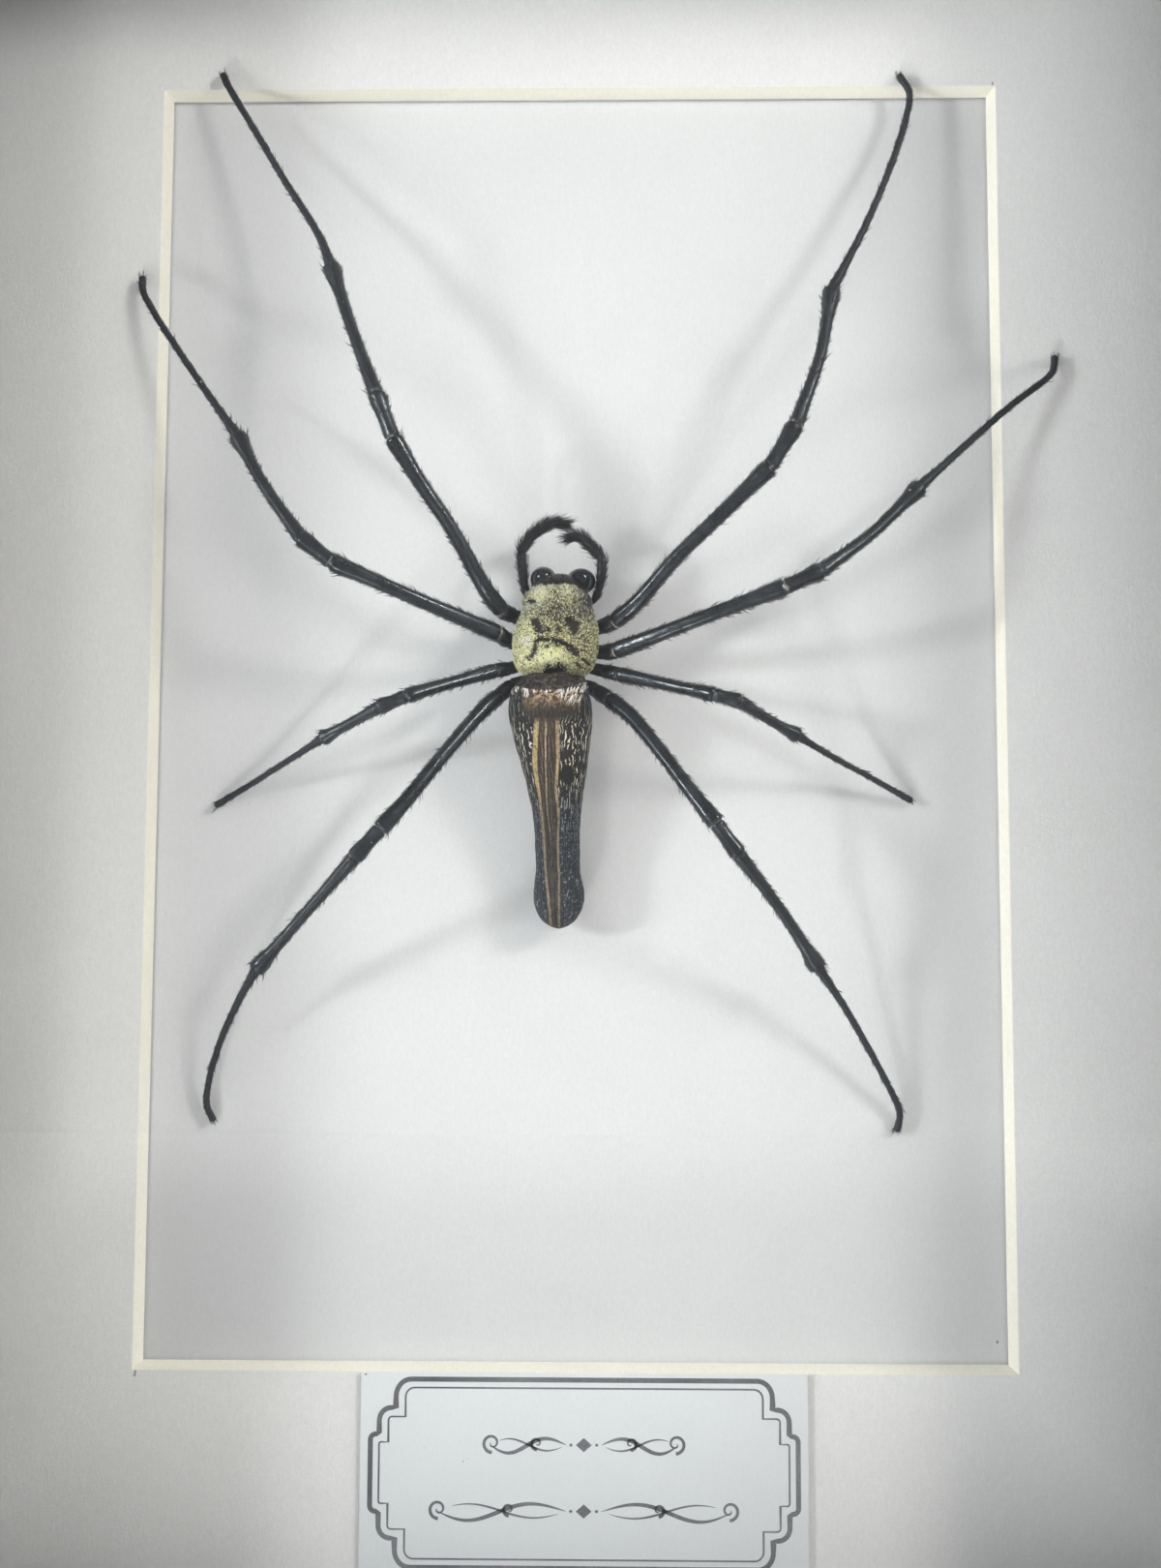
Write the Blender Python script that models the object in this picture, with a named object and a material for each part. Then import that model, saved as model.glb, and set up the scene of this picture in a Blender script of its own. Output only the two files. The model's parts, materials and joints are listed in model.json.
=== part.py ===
"""Framed orb weaver spider: a deep black box frame with a bevelled mount board, a name label and a
dried spider spread over the window. Dimensions below are in millimetres; the meshes are in metres.

The frame stands on its lower edge. X runs to the viewer's right, Z up, and Y away from the viewer.
"""
import math

import bmesh
import bpy
from mathutils import Vector

MM = 0.001
GAP = 0.3                  # clearance kept between pieces that rest on each other

# Sheets inside the frame
SHEET_WIDTH = 150.0
SHEET_HEIGHT = 200.0
GLASS_THICKNESS = 2.0
SPACER_DEPTH = 17.0
SPACER_THICKNESS = 5.2
MOUNT_THICKNESS = 1.2
CARD_THICKNESS = 0.8
BACK_THICKNESS = 3.0
BACK_RECESS = 5.5          # from the back board to the rear of the frame

# Moulding
LIP_DEPTH = 4.0
LIP_WIDTH = 6.0
WALL_THICKNESS = 8.5
SHEET_PLAY = 0.5           # between a sheet's edge and the moulding
OUTER_CHAMFER = 1.2
INNER_CHAMFER = 0.8
MITRE_GAP = 0.15

BAY_HALF_WIDTH = SHEET_WIDTH / 2 + SHEET_PLAY
BAY_HALF_HEIGHT = SHEET_HEIGHT / 2 + SHEET_PLAY
FRAME_WIDTH = 2 * (BAY_HALF_WIDTH + WALL_THICKNESS)
FRAME_HEIGHT = 2 * (BAY_HALF_HEIGHT + WALL_THICKNESS)
CENTRE_HEIGHT = FRAME_HEIGHT / 2

# Where each layer starts, counted back from the front of the moulding
GLASS_FRONT = LIP_DEPTH + GAP
SPACER_FRONT = GLASS_FRONT + GLASS_THICKNESS + GAP
MOUNT_FRONT = SPACER_FRONT + SPACER_DEPTH + GAP
CARD_FRONT = MOUNT_FRONT + MOUNT_THICKNESS + GAP
BACK_FRONT = CARD_FRONT + CARD_THICKNESS + GAP
BACK_REAR = BACK_FRONT + BACK_THICKNESS
FRAME_DEPTH = BACK_REAR + BACK_RECESS

# Window in the mount board, at the back of its bevel; it sits a little right of the middle
WINDOW_WIDTH = 95.0
WINDOW_HEIGHT = 144.5
WINDOW_BEVEL = 1.0
WINDOW_SHIFT = 2.0

# Label, placed from the middle of the window
LABEL_WIDTH = 48.7
LABEL_HEIGHT = 21.3
LABEL_THICKNESS = 0.3
LABEL_SHIFT = 1.15
LABEL_TOP = -73.3

# Back fittings
TAB_LENGTH = 12.0
TAB_WIDTH = 6.0
TAB_THICKNESS = 0.4
TAB_POINT = 3.0
TAB_KICK = 1.4             # how far the tab stands off the board at the moulding
TAB_SPACING_UP = 58.0      # from the middle of a side rail to its tabs
TAB_SPACING_ACROSS = 44.0
HANGER_LENGTH = 44.0
HANGER_WIDTH = 9.0
HANGER_THICKNESS = 0.6
HANGER_BOW = 2.0
HANGER_END = 6.0           # flat length at each end
HANGER_TEETH = 12
TOOTH_DEPTH = 1.5
HANGER_DROP = 22.0         # from the top of the back board to the hanger
RIVET_RADIUS = 1.6
RIVET_HEIGHT = 0.9
RIVET_INSET = 2.1          # from the end of the hanger to a rivet's middle
BOW_RUN = 2.0              # length over which the hanger rises to its bow

# Spider's body. x and z are counted from the middle of the window, height from the backing card
STERNUM_HALF_WIDTH = 1.9
SHIELD_EDGE = 5.4
DAB_RADIUS = 2.6
DAB_TOP = 2.6
DAB_CENTRE = (-2.1, 7.4)
BODY_SIDES = 20
LEG_SIDES = 10

# Shield stations from tail to head: z, left x, right x, crown height, sternum height, backward lean
SHIELD = [
    (3.1, -5.6, 1.0, 7.4, 4.9, 0.0),
    (4.0, -6.6, 2.0, 8.3, 3.3, 0.0),
    (5.4, -6.9, 2.45, 8.7, 3.0, 0.0),
    (7.1, -7.0, 2.6, 8.9, 3.0, 0.0),
    (8.6, -6.7, 2.5, 9.0, 3.0, 0.0),
    (9.8, -6.2, 2.2, 9.2, 3.2, 0.0),
    (10.8, -5.8, 1.9, 9.4, 4.0, 0.1),
    (12.0, -5.85, 1.9, 9.5, 4.6, 0.5),
    (13.0, -5.6, 1.6, 9.2, 4.9, 1.0),
    (13.6, -5.0, 0.8, 8.5, 5.0, 1.3),
]

# Abdomen stations from the waist to the tail: z, middle x, half width, middle height, half thickness
ABDOMEN = [
    (2.75, -2.4, 2.5, 7.1, 1.1),
    (2.3, -2.5, 3.6, 7.1, 1.8),
    (1.1, -2.75, 4.35, 6.9, 2.5),
    (-1.5, -2.7, 4.6, 6.5, 2.8),
    (-4.6, -2.5, 4.15, 5.9, 2.8),
    (-7.4, -2.25, 3.55, 5.3, 2.7),
    (-10.2, -2.1, 3.0, 4.7, 2.5),
    (-12.7, -2.0, 2.6, 4.2, 2.4),
    (-16.5, -1.95, 2.45, 3.4, 2.2),
    (-18.6, -1.9, 2.45, 3.1, 2.2),
    (-20.6, -1.8, 2.75, 3.0, 2.35),
    (-22.4, -1.8, 2.65, 3.0, 2.3),
    (-23.9, -1.8, 1.85, 3.0, 1.7),
]
ABDOMEN_FRONT = 2.85
ABDOMEN_TIP = -24.9

# Jaws: middle x, z and height, then half sizes in the same order
JAWS = {
    "left_chelicera": ((-3.6, 14.15, 4.9), (1.4, 1.45, 2.5)),
    "right_chelicera": ((0.7, 13.95, 4.9), (1.5, 1.45, 2.5)),
}

# Limb profiles: place along the segment and radius there
LIMB_PROFILE = {
    "coxa": ((0.0, 0.62), (0.3, 0.72), (0.85, 0.82)),
    "trochanter": ((0.1, 0.85), (0.75, 0.95)),
    "femur": ((0.05, 0.94), (0.2, 0.92), (0.55, 0.80), (0.85, 0.88), (0.96, 1.0)),
    "patella": ((0.06, 0.82), (0.45, 0.88), (0.88, 0.98)),
    "tibia": ((0.05, 0.76), (0.35, 0.65), (0.72, 0.68), (0.92, 0.92), (0.98, 0.9)),
    "metatarsus": ((0.06, 0.54), (0.3, 0.40), (0.65, 0.37), (0.95, 0.35)),
    "tarsus": ((0.4, 0.35), (0.75, 0.37), (1.0, 0.28)),
    "palp": ((0.0, 0.42), (0.2, 0.48), (0.4, 0.5), (0.52, 0.55), (0.68, 0.55), (0.85, 0.6), (1.0, 0.36)),
}

# Limbs: girth, root (x, z, height), then each segment's runs as length, heading and end height.
# A heading of 0 points to the viewer's right and 90 up.
LIMBS = {
    "left_leg_1": (1.0, (-4.5, 9.0, 3.6), (
        ("coxa", ((2.8, 154, 4.0),)),
        ("trochanter", ((1.3, 166, 5.2),)),
        ("femur", ((3.0, 129, 7.4), (6.7, 120, 10.0), (6.2, 125, 12.0), (5.4, 122, 13.2))),
        ("patella", ((5.3, 111, 13.2),)),
        ("tibia", ((6.8, 111, 11.4), (10.6, 109, 8.0))),
        ("metatarsus", ((4.3, 112, 7.0), (7.5, 121, 5.4), (9.3, 120, 3.7))),
        ("tarsus", ((6.1, 120, 2.7), (1.8, 113, 2.2))))),
    "left_leg_2": (1.0, (-4.6, 6.9, 3.6), (
        ("coxa", ((2.9, 174, 4.2),)),
        ("trochanter", ((1.4, 149, 5.6),)),
        ("femur", ((5.9, 162, 9.2), (6.6, 160, 12.0), (6.4, 158, 13.4))),
        ("patella", ((4.4, 141, 13.0),)),
        ("tibia", ((8.2, 125, 10.8), (6.9, 119, 8.2))),
        ("metatarsus", ((7.9, 125, 6.0), (9.1, 124, 4.0))),
        ("tarsus", ((3.0, 121, 3.2), (2.4, 118, 2.6), (2.0, 94, 2.2))))),
    "left_leg_3": (0.88, (-4.6, 5.0, 3.6), (
        ("coxa", ((2.9, -164, 4.2),)),
        ("trochanter", ((1.7, -163, 5.6),)),
        ("femur", ((7.7, -158, 10.2), (2.3, -158, 11.2))),
        ("patella", ((3.3, -159, 10.6),)),
        ("tibia", ((7.2, -157, 6.4),)),
        ("metatarsus", ((9.7, -152, 1.8),)),
        ("tarsus", ((5.0, -151, 0.7),)))),
    "left_leg_4": (0.96, (-4.4, 3.3, 3.6), (
        ("coxa", ((2.9, -160, 4.0),)),
        ("trochanter", ((2.0, -135, 5.2),)),
        ("femur", ((2.3, -133, 6.8), (6.8, -127, 9.8), (6.7, -126, 12.0), (4.1, -130, 12.8))),
        ("patella", ((4.1, -133, 12.2),)),
        ("tibia", ((16.5, -134, 5.8),)),
        ("metatarsus", ((4.0, -121, 4.6), (4.2, -117, 3.2), (4.3, -110, 2.0))),
        ("tarsus", ((3.5, -99, 1.0), (2.2, -67, 0.7))))),
    "right_leg_1": (1.0, (0.4, 8.7, 3.6), (
        ("coxa", ((2.5, 5, 4.0),)),
        ("trochanter", ((1.6, 16, 5.2),)),
        ("femur", ((3.1, 35, 7.4), (6.1, 46, 10.2), (5.6, 42, 12.0), (8.2, 43, 13.6))),
        ("patella", ((5.5, 59, 13.4),)),
        ("tibia", ((8.7, 71, 11.2), (8.9, 79, 8.2))),
        ("metatarsus", ((9.8, 64, 5.8), (8.2, 68, 4.2), (5.3, 72, 3.2))),
        ("tarsus", ((3.9, 80, 2.6), (2.9, 116, 2.2))))),
    "right_leg_2": (1.0, (0.5, 6.5, 3.6), (
        ("coxa", ((2.7, -11, 4.2),)),
        ("trochanter", ((1.4, -1, 5.6),)),
        ("femur", ((4.8, 15, 8.6), (6.6, 17, 11.4), (7.8, 18, 13.4))),
        ("patella", ((4.4, 26, 12.8),)),
        ("tibia", ((7.5, 39, 10.4), (8.0, 46, 8.2))),
        ("metatarsus", ((8.3, 44, 5.8), (6.5, 43, 4.2), (4.9, 39, 3.0))),
        ("tarsus", ((2.0, 44, 2.6), (2.2, 81, 2.2))))),
    "right_leg_3": (0.88, (0.5, 4.6, 3.6), (
        ("coxa", ((2.8, -15, 4.2),)),
        ("trochanter", ((1.8, -19, 5.6),)),
        ("femur", ((10.9, -17, 11.2),)),
        ("patella", ((2.8, -14, 10.8),)),
        ("tibia", ((3.8, -27, 8.6), (3.5, -24, 6.4))),
        ("metatarsus", ((4.5, -27, 4.1), (5.0, -25, 2.0))),
        ("tarsus", ((5.4, -28, 0.7),)))),
    "right_leg_4": (0.96, (0.3, 3.0, 3.6), (
        ("coxa", ((2.4, -33, 4.0),)),
        ("trochanter", ((1.9, -38, 5.2),)),
        ("femur", ((3.3, -42, 7.2), (5.7, -53, 9.8), (5.1, -55, 11.6), (4.6, -53, 12.8))),
        ("patella", ((4.1, -54, 12.2),)),
        ("tibia", ((7.3, -51, 9.2), (7.6, -55, 5.8))),
        ("metatarsus", ((5.0, -55, 4.4), (5.9, -59, 2.8), (4.1, -61, 1.8))),
        ("tarsus", ((3.3, -66, 1.0), (2.2, -101, 0.7))))),
    "left_palp": (1.0, (-5.3, 11.6, 4.2), (
        ("palp", ((1.9, 104, 5.0), (3.5, 96, 5.8), (0.9, 72, 5.8), (2.2, 54, 5.3),
                  (2.1, 31, 4.7), (2.0, 0, 4.2))),)),
    "right_palp": (1.0, (1.7, 11.2, 4.2), (
        ("palp", ((1.9, 62, 5.0), (1.7, 80, 5.6), (1.9, 87, 5.8), (2.1, 133, 5.4),
                  (1.7, 135, 4.8), (1.5, 188, 4.3))),)),
}


def clear_scene():
    for thing in list(bpy.data.objects):
        bpy.data.objects.remove(thing, do_unlink=True)


def make_material(name, colour, roughness, metallic=0.0, transmission=0.0):
    material = bpy.data.materials.new(name)
    material.use_nodes = True
    shader = material.node_tree.nodes["Principled BSDF"]
    shader.inputs["Base Color"].default_value = (*colour, 1.0)
    shader.inputs["Roughness"].default_value = roughness
    shader.inputs["Metallic"].default_value = metallic
    shader.inputs["Transmission Weight"].default_value = transmission
    return material


def make_object(name, vertices, faces, material, smooth=False):
    """One closed solid from world points in millimetres, with its normals turned outwards."""
    mesh = bpy.data.meshes.new(name)
    mesh.from_pydata([tuple(c * MM for c in v) for v in vertices], [], faces)
    shape = bmesh.new()
    shape.from_mesh(mesh)
    bmesh.ops.recalc_face_normals(shape, faces=shape.faces)
    shape.to_mesh(mesh)
    shape.free()
    mesh.materials.append(material)
    if smooth:
        mesh.shade_smooth()
        mesh.set_sharp_from_angle(angle=math.radians(50))
    thing = bpy.data.objects.new(name, mesh)
    bpy.context.scene.collection.objects.link(thing)
    return thing


def depth_at(distance):
    """World y of a plane that lies this far behind the front of the moulding."""
    return distance - FRAME_DEPTH / 2


def from_window(x, z, height):
    """World place of a point given from the window's middle and its height over the backing card."""
    return (x + WINDOW_SHIFT, depth_at(CARD_FRONT) - height, z + CENTRE_HEIGHT)


def slab(name, x_range, front, thickness, z_range, material):
    """A flat sheet between two x and two z values."""
    corners = [(x, z) for x, z in (
        (x_range[0], z_range[0]), (x_range[1], z_range[0]),
        (x_range[1], z_range[1]), (x_range[0], z_range[1]))]
    return prism(name, corners, front, thickness, material)


def prism(name, outline, front, thickness, material):
    """An outline of (x, z) points made as thick as the sheet it is cut from."""
    count = len(outline)
    vertices = [(x, depth_at(front), z) for x, z in outline]
    vertices += [(x, depth_at(front + thickness), z) for x, z in outline]
    faces = [tuple(range(count)), tuple(range(count, 2 * count))]
    for i in range(count):
        j = (i + 1) % count
        faces.append((i, j, j + count, i + count))
    return make_object(name, vertices, faces, material)


def loft(name, rings, material, start=None, end=None, smooth=True):
    """A skin over rings of equal count, closed by flat ends or drawn to a start and an end point."""
    count = len(rings[0])
    vertices = [point for ring in rings for point in ring]
    faces = []
    for k in range(len(rings) - 1):
        for i in range(count):
            j = (i + 1) % count
            faces.append((k * count + i, k * count + j, (k + 1) * count + j, (k + 1) * count + i))
    last = (len(rings) - 1) * count
    for point, first in ((start, 0), (end, last)):
        if point is None:
            faces.append(tuple(range(first, first + count)))
        else:
            vertices.append(point)
            tip = len(vertices) - 1
            faces += [(first + i, first + (i + 1) % count, tip) for i in range(count)]
    return make_object(name, vertices, faces, material, smooth)


def moulding_section():
    """The moulding's section as distance in from the outer edge and distance back from the front."""
    lip_edge = WALL_THICKNESS + LIP_WIDTH
    return [
        (0.0, OUTER_CHAMFER), (OUTER_CHAMFER, 0.0),
        (lip_edge - INNER_CHAMFER, 0.0), (lip_edge, INNER_CHAMFER), (lip_edge, LIP_DEPTH),
        (WALL_THICKNESS, LIP_DEPTH), (WALL_THICKNESS, FRAME_DEPTH),
        (OUTER_CHAMFER / 2, FRAME_DEPTH), (0.0, FRAME_DEPTH - OUTER_CHAMFER / 2),
    ]


def rail(name, length, place, material):
    """A mitred rail: place(along, inward) turns a spot on the rail into world x and z."""
    rings = []
    for side in (-1, 1):
        ring = []
        for inward, back in moulding_section():
            along = side * (length / 2 - inward - MITRE_GAP)
            x, z = place(along, inward)
            ring.append((x, depth_at(back), z))
        rings.append(ring)
    return loft(name, rings, material, smooth=False)


def make_frame(material):
    half = FRAME_WIDTH / 2
    rail("frame_top_rail", FRAME_WIDTH, lambda a, i: (a, FRAME_HEIGHT - i), material)
    rail("frame_bottom_rail", FRAME_WIDTH, lambda a, i: (a, i), material)
    rail("frame_left_rail", FRAME_HEIGHT, lambda a, i: (i - half, CENTRE_HEIGHT + a), material)
    rail("frame_right_rail", FRAME_HEIGHT, lambda a, i: (half - i, CENTRE_HEIGHT + a), material)


def make_sheets(glass, card, board):
    across = (-SHEET_WIDTH / 2, SHEET_WIDTH / 2)
    up = (CENTRE_HEIGHT - SHEET_HEIGHT / 2, CENTRE_HEIGHT + SHEET_HEIGHT / 2)
    slab("glass_pane", across, GLASS_FRONT, GLASS_THICKNESS, up, glass)
    slab("backing_card", across, CARD_FRONT, CARD_THICKNESS, up, card)
    slab("back_board", across, BACK_FRONT, BACK_THICKNESS, up, board)


def make_spacers(material):
    outer = SHEET_WIDTH / 2
    inner = outer - SPACER_THICKNESS
    top = CENTRE_HEIGHT + SHEET_HEIGHT / 2
    bottom = CENTRE_HEIGHT - SHEET_HEIGHT / 2
    between = (GAP - inner, inner - GAP)
    for name, across, up in (
            ("spacer_left", (-outer, -inner), (bottom, top)),
            ("spacer_right", (inner, outer), (bottom, top)),
            ("spacer_top", between, (top - SPACER_THICKNESS, top)),
            ("spacer_bottom", between, (bottom, bottom + SPACER_THICKNESS))):
        slab(name, across, SPACER_FRONT, SPACER_DEPTH, up, material)


def rectangle(centre_x, centre_z, width, height):
    return [(centre_x + sx * width / 2, centre_z + sz * height / 2)
            for sx, sz in ((-1, -1), (1, -1), (1, 1), (-1, 1))]


def make_mount_board(material):
    """A board with a bevelled window: each wall is a ring of four corners."""
    back = MOUNT_FRONT + MOUNT_THICKNESS
    wide = 2 * WINDOW_BEVEL
    rings = (
        (rectangle(0, CENTRE_HEIGHT, SHEET_WIDTH, SHEET_HEIGHT), MOUNT_FRONT),
        (rectangle(WINDOW_SHIFT, CENTRE_HEIGHT, WINDOW_WIDTH + wide, WINDOW_HEIGHT + wide), MOUNT_FRONT),
        (rectangle(WINDOW_SHIFT, CENTRE_HEIGHT, WINDOW_WIDTH, WINDOW_HEIGHT), back),
        (rectangle(0, CENTRE_HEIGHT, SHEET_WIDTH, SHEET_HEIGHT), back),
    )
    vertices = [(x, depth_at(depth), z) for ring, depth in rings for x, z in ring]
    faces = []
    for k in range(4):
        for i in range(4):
            j = (i + 1) % 4
            following = (k + 1) % 4
            faces.append((4 * k + i, 4 * k + j, 4 * following + j, 4 * following + i))
    make_object("mount_board", vertices, faces, material)


def make_label(material):
    middle = WINDOW_SHIFT + LABEL_SHIFT
    top = CENTRE_HEIGHT + LABEL_TOP
    front = MOUNT_FRONT - GAP / 2 - LABEL_THICKNESS
    slab("name_label", (middle - LABEL_WIDTH / 2, middle + LABEL_WIDTH / 2), front, LABEL_THICKNESS,
         (top - LABEL_HEIGHT, top), material)


def make_tab(number, edge_x, edge_z, inward_x, inward_z, material):
    """A steel tab lying on the back board, kicked up where it leaves the moulding."""
    half = TAB_WIDTH / 2
    stations = (
        (GAP, half, TAB_KICK), (GAP + 1.6, half, TAB_KICK), (GAP + 3.4, half, 0.0),
        (TAB_LENGTH - TAB_POINT, half, 0.0), (TAB_LENGTH, half / 3, 0.0))
    rings = []
    for along, side, lift in stations:
        x = edge_x + inward_x * along
        z = edge_z + inward_z * along
        near = depth_at(BACK_REAR + GAP + lift)
        far = near + TAB_THICKNESS
        dx, dz = inward_z * side, inward_x * side
        rings.append([(x - dx, near, z - dz), (x + dx, near, z + dz),
                      (x + dx, far, z + dz), (x - dx, far, z - dz)])
    loft("retaining_tab_%d" % number, rings, material, smooth=False)


def make_tabs(material):
    places = []
    for side in (-1, 1):
        for step in (-1, 1):
            places.append((side * BAY_HALF_WIDTH, CENTRE_HEIGHT + step * TAB_SPACING_UP, -side, 0))
    for side in (-1, 1):
        for step in (-1, 1):
            places.append((step * TAB_SPACING_ACROSS, CENTRE_HEIGHT + side * BAY_HALF_HEIGHT, 0, -side))
    for number, place in enumerate(places, start=1):
        make_tab(number, *place, material)


def make_hanger(steel):
    """A bowed plate with teeth along its lower edge, held by two rivets."""
    top = CENTRE_HEIGHT + SHEET_HEIGHT / 2 - HANGER_DROP
    bottom = top - HANGER_WIDTH
    half = HANGER_LENGTH / 2
    toothed = half - HANGER_END
    pitch = 2 * toothed / HANGER_TEETH
    stations = [(-half, bottom, 0.0), (-toothed - BOW_RUN, bottom, 0.0)]
    for k in range(2 * HANGER_TEETH + 1):
        x = -toothed + k * pitch / 2
        rise = TOOTH_DEPTH if k % 2 else 0.0
        stations.append((x, bottom + rise, HANGER_BOW))
    stations += [(toothed + BOW_RUN, bottom, 0.0), (half, bottom, 0.0)]
    rings = []
    for x, low, bow in stations:
        near = depth_at(BACK_REAR + GAP + bow)
        far = near + HANGER_THICKNESS
        rings.append([(x, near, low), (x, near, top), (x, far, top), (x, far, low)])
    loft("hanger_plate", rings, steel, smooth=False)
    for name, side in (("hanger_rivet_left", -1), ("hanger_rivet_right", 1)):
        make_rivet(name, side * (half - RIVET_INSET), (top + bottom) / 2, steel)


def make_rivet(name, x, z, material):
    """A low domed rivet head on the hanger's flat end."""
    seat = BACK_REAR + 2 * GAP + HANGER_THICKNESS
    rings = []
    for turn in (0, 35, 65):
        radius = RIVET_RADIUS * math.cos(math.radians(turn))
        lift = RIVET_HEIGHT * math.sin(math.radians(turn))
        rings.append(circle(x, z, radius, seat + lift, 12))
    loft(name, rings, material, end=(x, depth_at(seat + RIVET_HEIGHT), z))


def circle(x, z, radius, distance, sides):
    return [(x + radius * math.cos(2 * math.pi * i / sides), depth_at(distance),
             z + radius * math.sin(2 * math.pi * i / sides)) for i in range(sides)]


def make_glue_dab(material):
    x, z = DAB_CENTRE
    rings = []
    for height, radius in ((GAP, DAB_RADIUS), (DAB_TOP * 0.45, DAB_RADIUS * 0.85),
                           (DAB_TOP, DAB_RADIUS * 0.55)):
        rings.append([from_window(x + radius * math.cos(2 * math.pi * i / 12),
                                  z + radius * math.sin(2 * math.pi * i / 12), height)
                      for i in range(12)])
    loft("glue_dab", rings, material)


def rounded(value, fullness):
    """A cosine or sine pushed out towards its corners."""
    return math.copysign(abs(value) ** fullness, value)


def make_cephalothorax(material):
    """The shield is a dome over a narrower sternum, so the legs tuck in under its edge."""
    dome_points = 9
    rings = []
    for z, left, right, crown, sternum, lean in SHIELD:
        middle, half = (left + right) / 2, (right - left) / 2
        keel = min(STERNUM_HALF_WIDTH, half * 0.6)
        section = []
        for i in range(dome_points):
            turn = math.pi * i / (dome_points - 1)
            section.append((half * rounded(math.cos(turn), 0.8),
                            SHIELD_EDGE + (crown - SHIELD_EDGE) * rounded(math.sin(turn), 0.8)))
        section += [(-half * 0.72, SHIELD_EDGE - 0.2), (-keel, SHIELD_EDGE - 0.35), (-keel * 0.9, sternum),
                    (0.0, sternum - 0.1), (keel * 0.9, sternum), (keel, SHIELD_EDGE - 0.35),
                    (half * 0.72, SHIELD_EDGE - 0.2)]
        low = sternum - 0.1
        ring = []
        for x, height in section:
            share = (height - low) / (crown - low)
            ring.append(from_window(middle + x, z - lean * (1 - share * share), height))
        rings.append(ring)
    loft("cephalothorax", rings, material)


def make_abdomen(material):
    rings = []
    for z, middle, half, height, thick in ABDOMEN:
        ring = []
        for i in range(BODY_SIDES):
            turn = 2 * math.pi * i / BODY_SIDES
            ring.append(from_window(middle + half * rounded(math.cos(turn), 0.85), z,
                                    height + thick * rounded(math.sin(turn), 0.85)))
        rings.append(ring)
    first, last = ABDOMEN[0], ABDOMEN[-1]
    loft("abdomen", rings, material,
         start=from_window(first[1], ABDOMEN_FRONT, first[3]),
         end=from_window(last[1], ABDOMEN_TIP, last[3]))


def make_jaws(material):
    turns = (-60, -30, 0, 30, 60)
    for name, (centre, size) in JAWS.items():
        rings = []
        for latitude in turns:
            lift = math.sin(math.radians(latitude))
            wide = math.cos(math.radians(latitude))
            ring = []
            for i in range(12):
                turn = 2 * math.pi * i / 12
                ring.append(from_window(centre[0] + size[0] * wide * math.cos(turn),
                                        centre[1] + size[1] * wide * math.sin(turn),
                                        centre[2] + size[2] * lift))
            rings.append(ring)
        loft(name, rings, material,
             start=from_window(centre[0], centre[1], centre[2] - size[2]),
             end=from_window(centre[0], centre[1], centre[2] + size[2]))


def segment_points(start, runs):
    """Corner points of one segment: each run is a length, a heading and the height it ends at."""
    points = [start]
    for length, heading, height in runs:
        x, z, _ = points[-1]
        turn = math.radians(heading)
        points.append((x + length * math.cos(turn), z + length * math.sin(turn), height))
    return points


def along_path(points, share):
    """The spot at a share of the whole length of a run of straight pieces."""
    lengths = [(Vector(b) - Vector(a)).length for a, b in zip(points, points[1:])]
    target = share * sum(lengths)
    for a, b, length in zip(points, points[1:], lengths):
        if target <= length:
            return Vector(a).lerp(Vector(b), target / length)
        target -= length
    return Vector(points[-1])


def limb_stations(girth, root, segments):
    """Spots and radii down a limb, from every segment's profile."""
    stations = []
    start = root
    for kind, runs in segments:
        points = segment_points(start, runs)
        for share, radius in LIMB_PROFILE[kind]:
            stations.append((along_path(points, share), radius * girth))
        start = points[-1]
    return stations


def make_limb(name, girth, root, segments, material):
    stations = limb_stations(girth, root, segments)
    places = [spot for spot, _ in stations]
    toward_viewer = Vector((0, 0, 1))
    rings = []
    for k, (spot, radius) in enumerate(stations):
        before = places[max(k - 1, 0)]
        after = places[min(k + 1, len(places) - 1)]
        direction = (after - before).normalized()
        side = direction.cross(toward_viewer).normalized()
        lift = side.cross(direction)
        ring = []
        for i in range(LEG_SIDES):
            turn = 2 * math.pi * i / LEG_SIDES
            point = spot + radius * (side * math.cos(turn) + lift * math.sin(turn))
            ring.append(from_window(point.x, point.y, point.z))
        rings.append(ring)
    loft(name, rings, material)


def main():
    clear_scene()
    black_paint = make_material("black_moulding", (0.012, 0.012, 0.013), 0.42)
    make_frame(black_paint)
    make_sheets(
        make_material("clear_glass", (0.95, 0.97, 0.96), 0.02, transmission=1.0),
        make_material("white_card", (0.78, 0.77, 0.77), 0.85),
        make_material("brown_board", (0.23, 0.13, 0.06), 0.8))
    make_spacers(make_material("black_spacer", (0.015, 0.016, 0.018), 0.7))
    make_mount_board(make_material("mount_board_white", (0.72, 0.71, 0.70), 0.85))
    make_label(make_material("label_card", (0.78, 0.79, 0.81), 0.6))
    steel = make_material("zinc_steel", (0.55, 0.55, 0.54), 0.35, metallic=1.0)
    make_tabs(steel)
    make_hanger(steel)
    make_glue_dab(make_material("dried_glue", (0.75, 0.70, 0.58), 0.3))
    make_cephalothorax(make_material("golden_shield", (0.38, 0.36, 0.17), 0.7))
    make_abdomen(make_material("striped_skin", (0.10, 0.055, 0.025), 0.6))
    shell = make_material("black_shell", (0.012, 0.013, 0.016), 0.28)
    make_jaws(shell)
    for name, (girth, root, segments) in LIMBS.items():
        make_limb(name, girth, root, segments, shell)


main()
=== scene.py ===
import json
import math
import random

import bmesh
import bpy
import numpy as np
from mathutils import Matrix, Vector, noise

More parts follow.
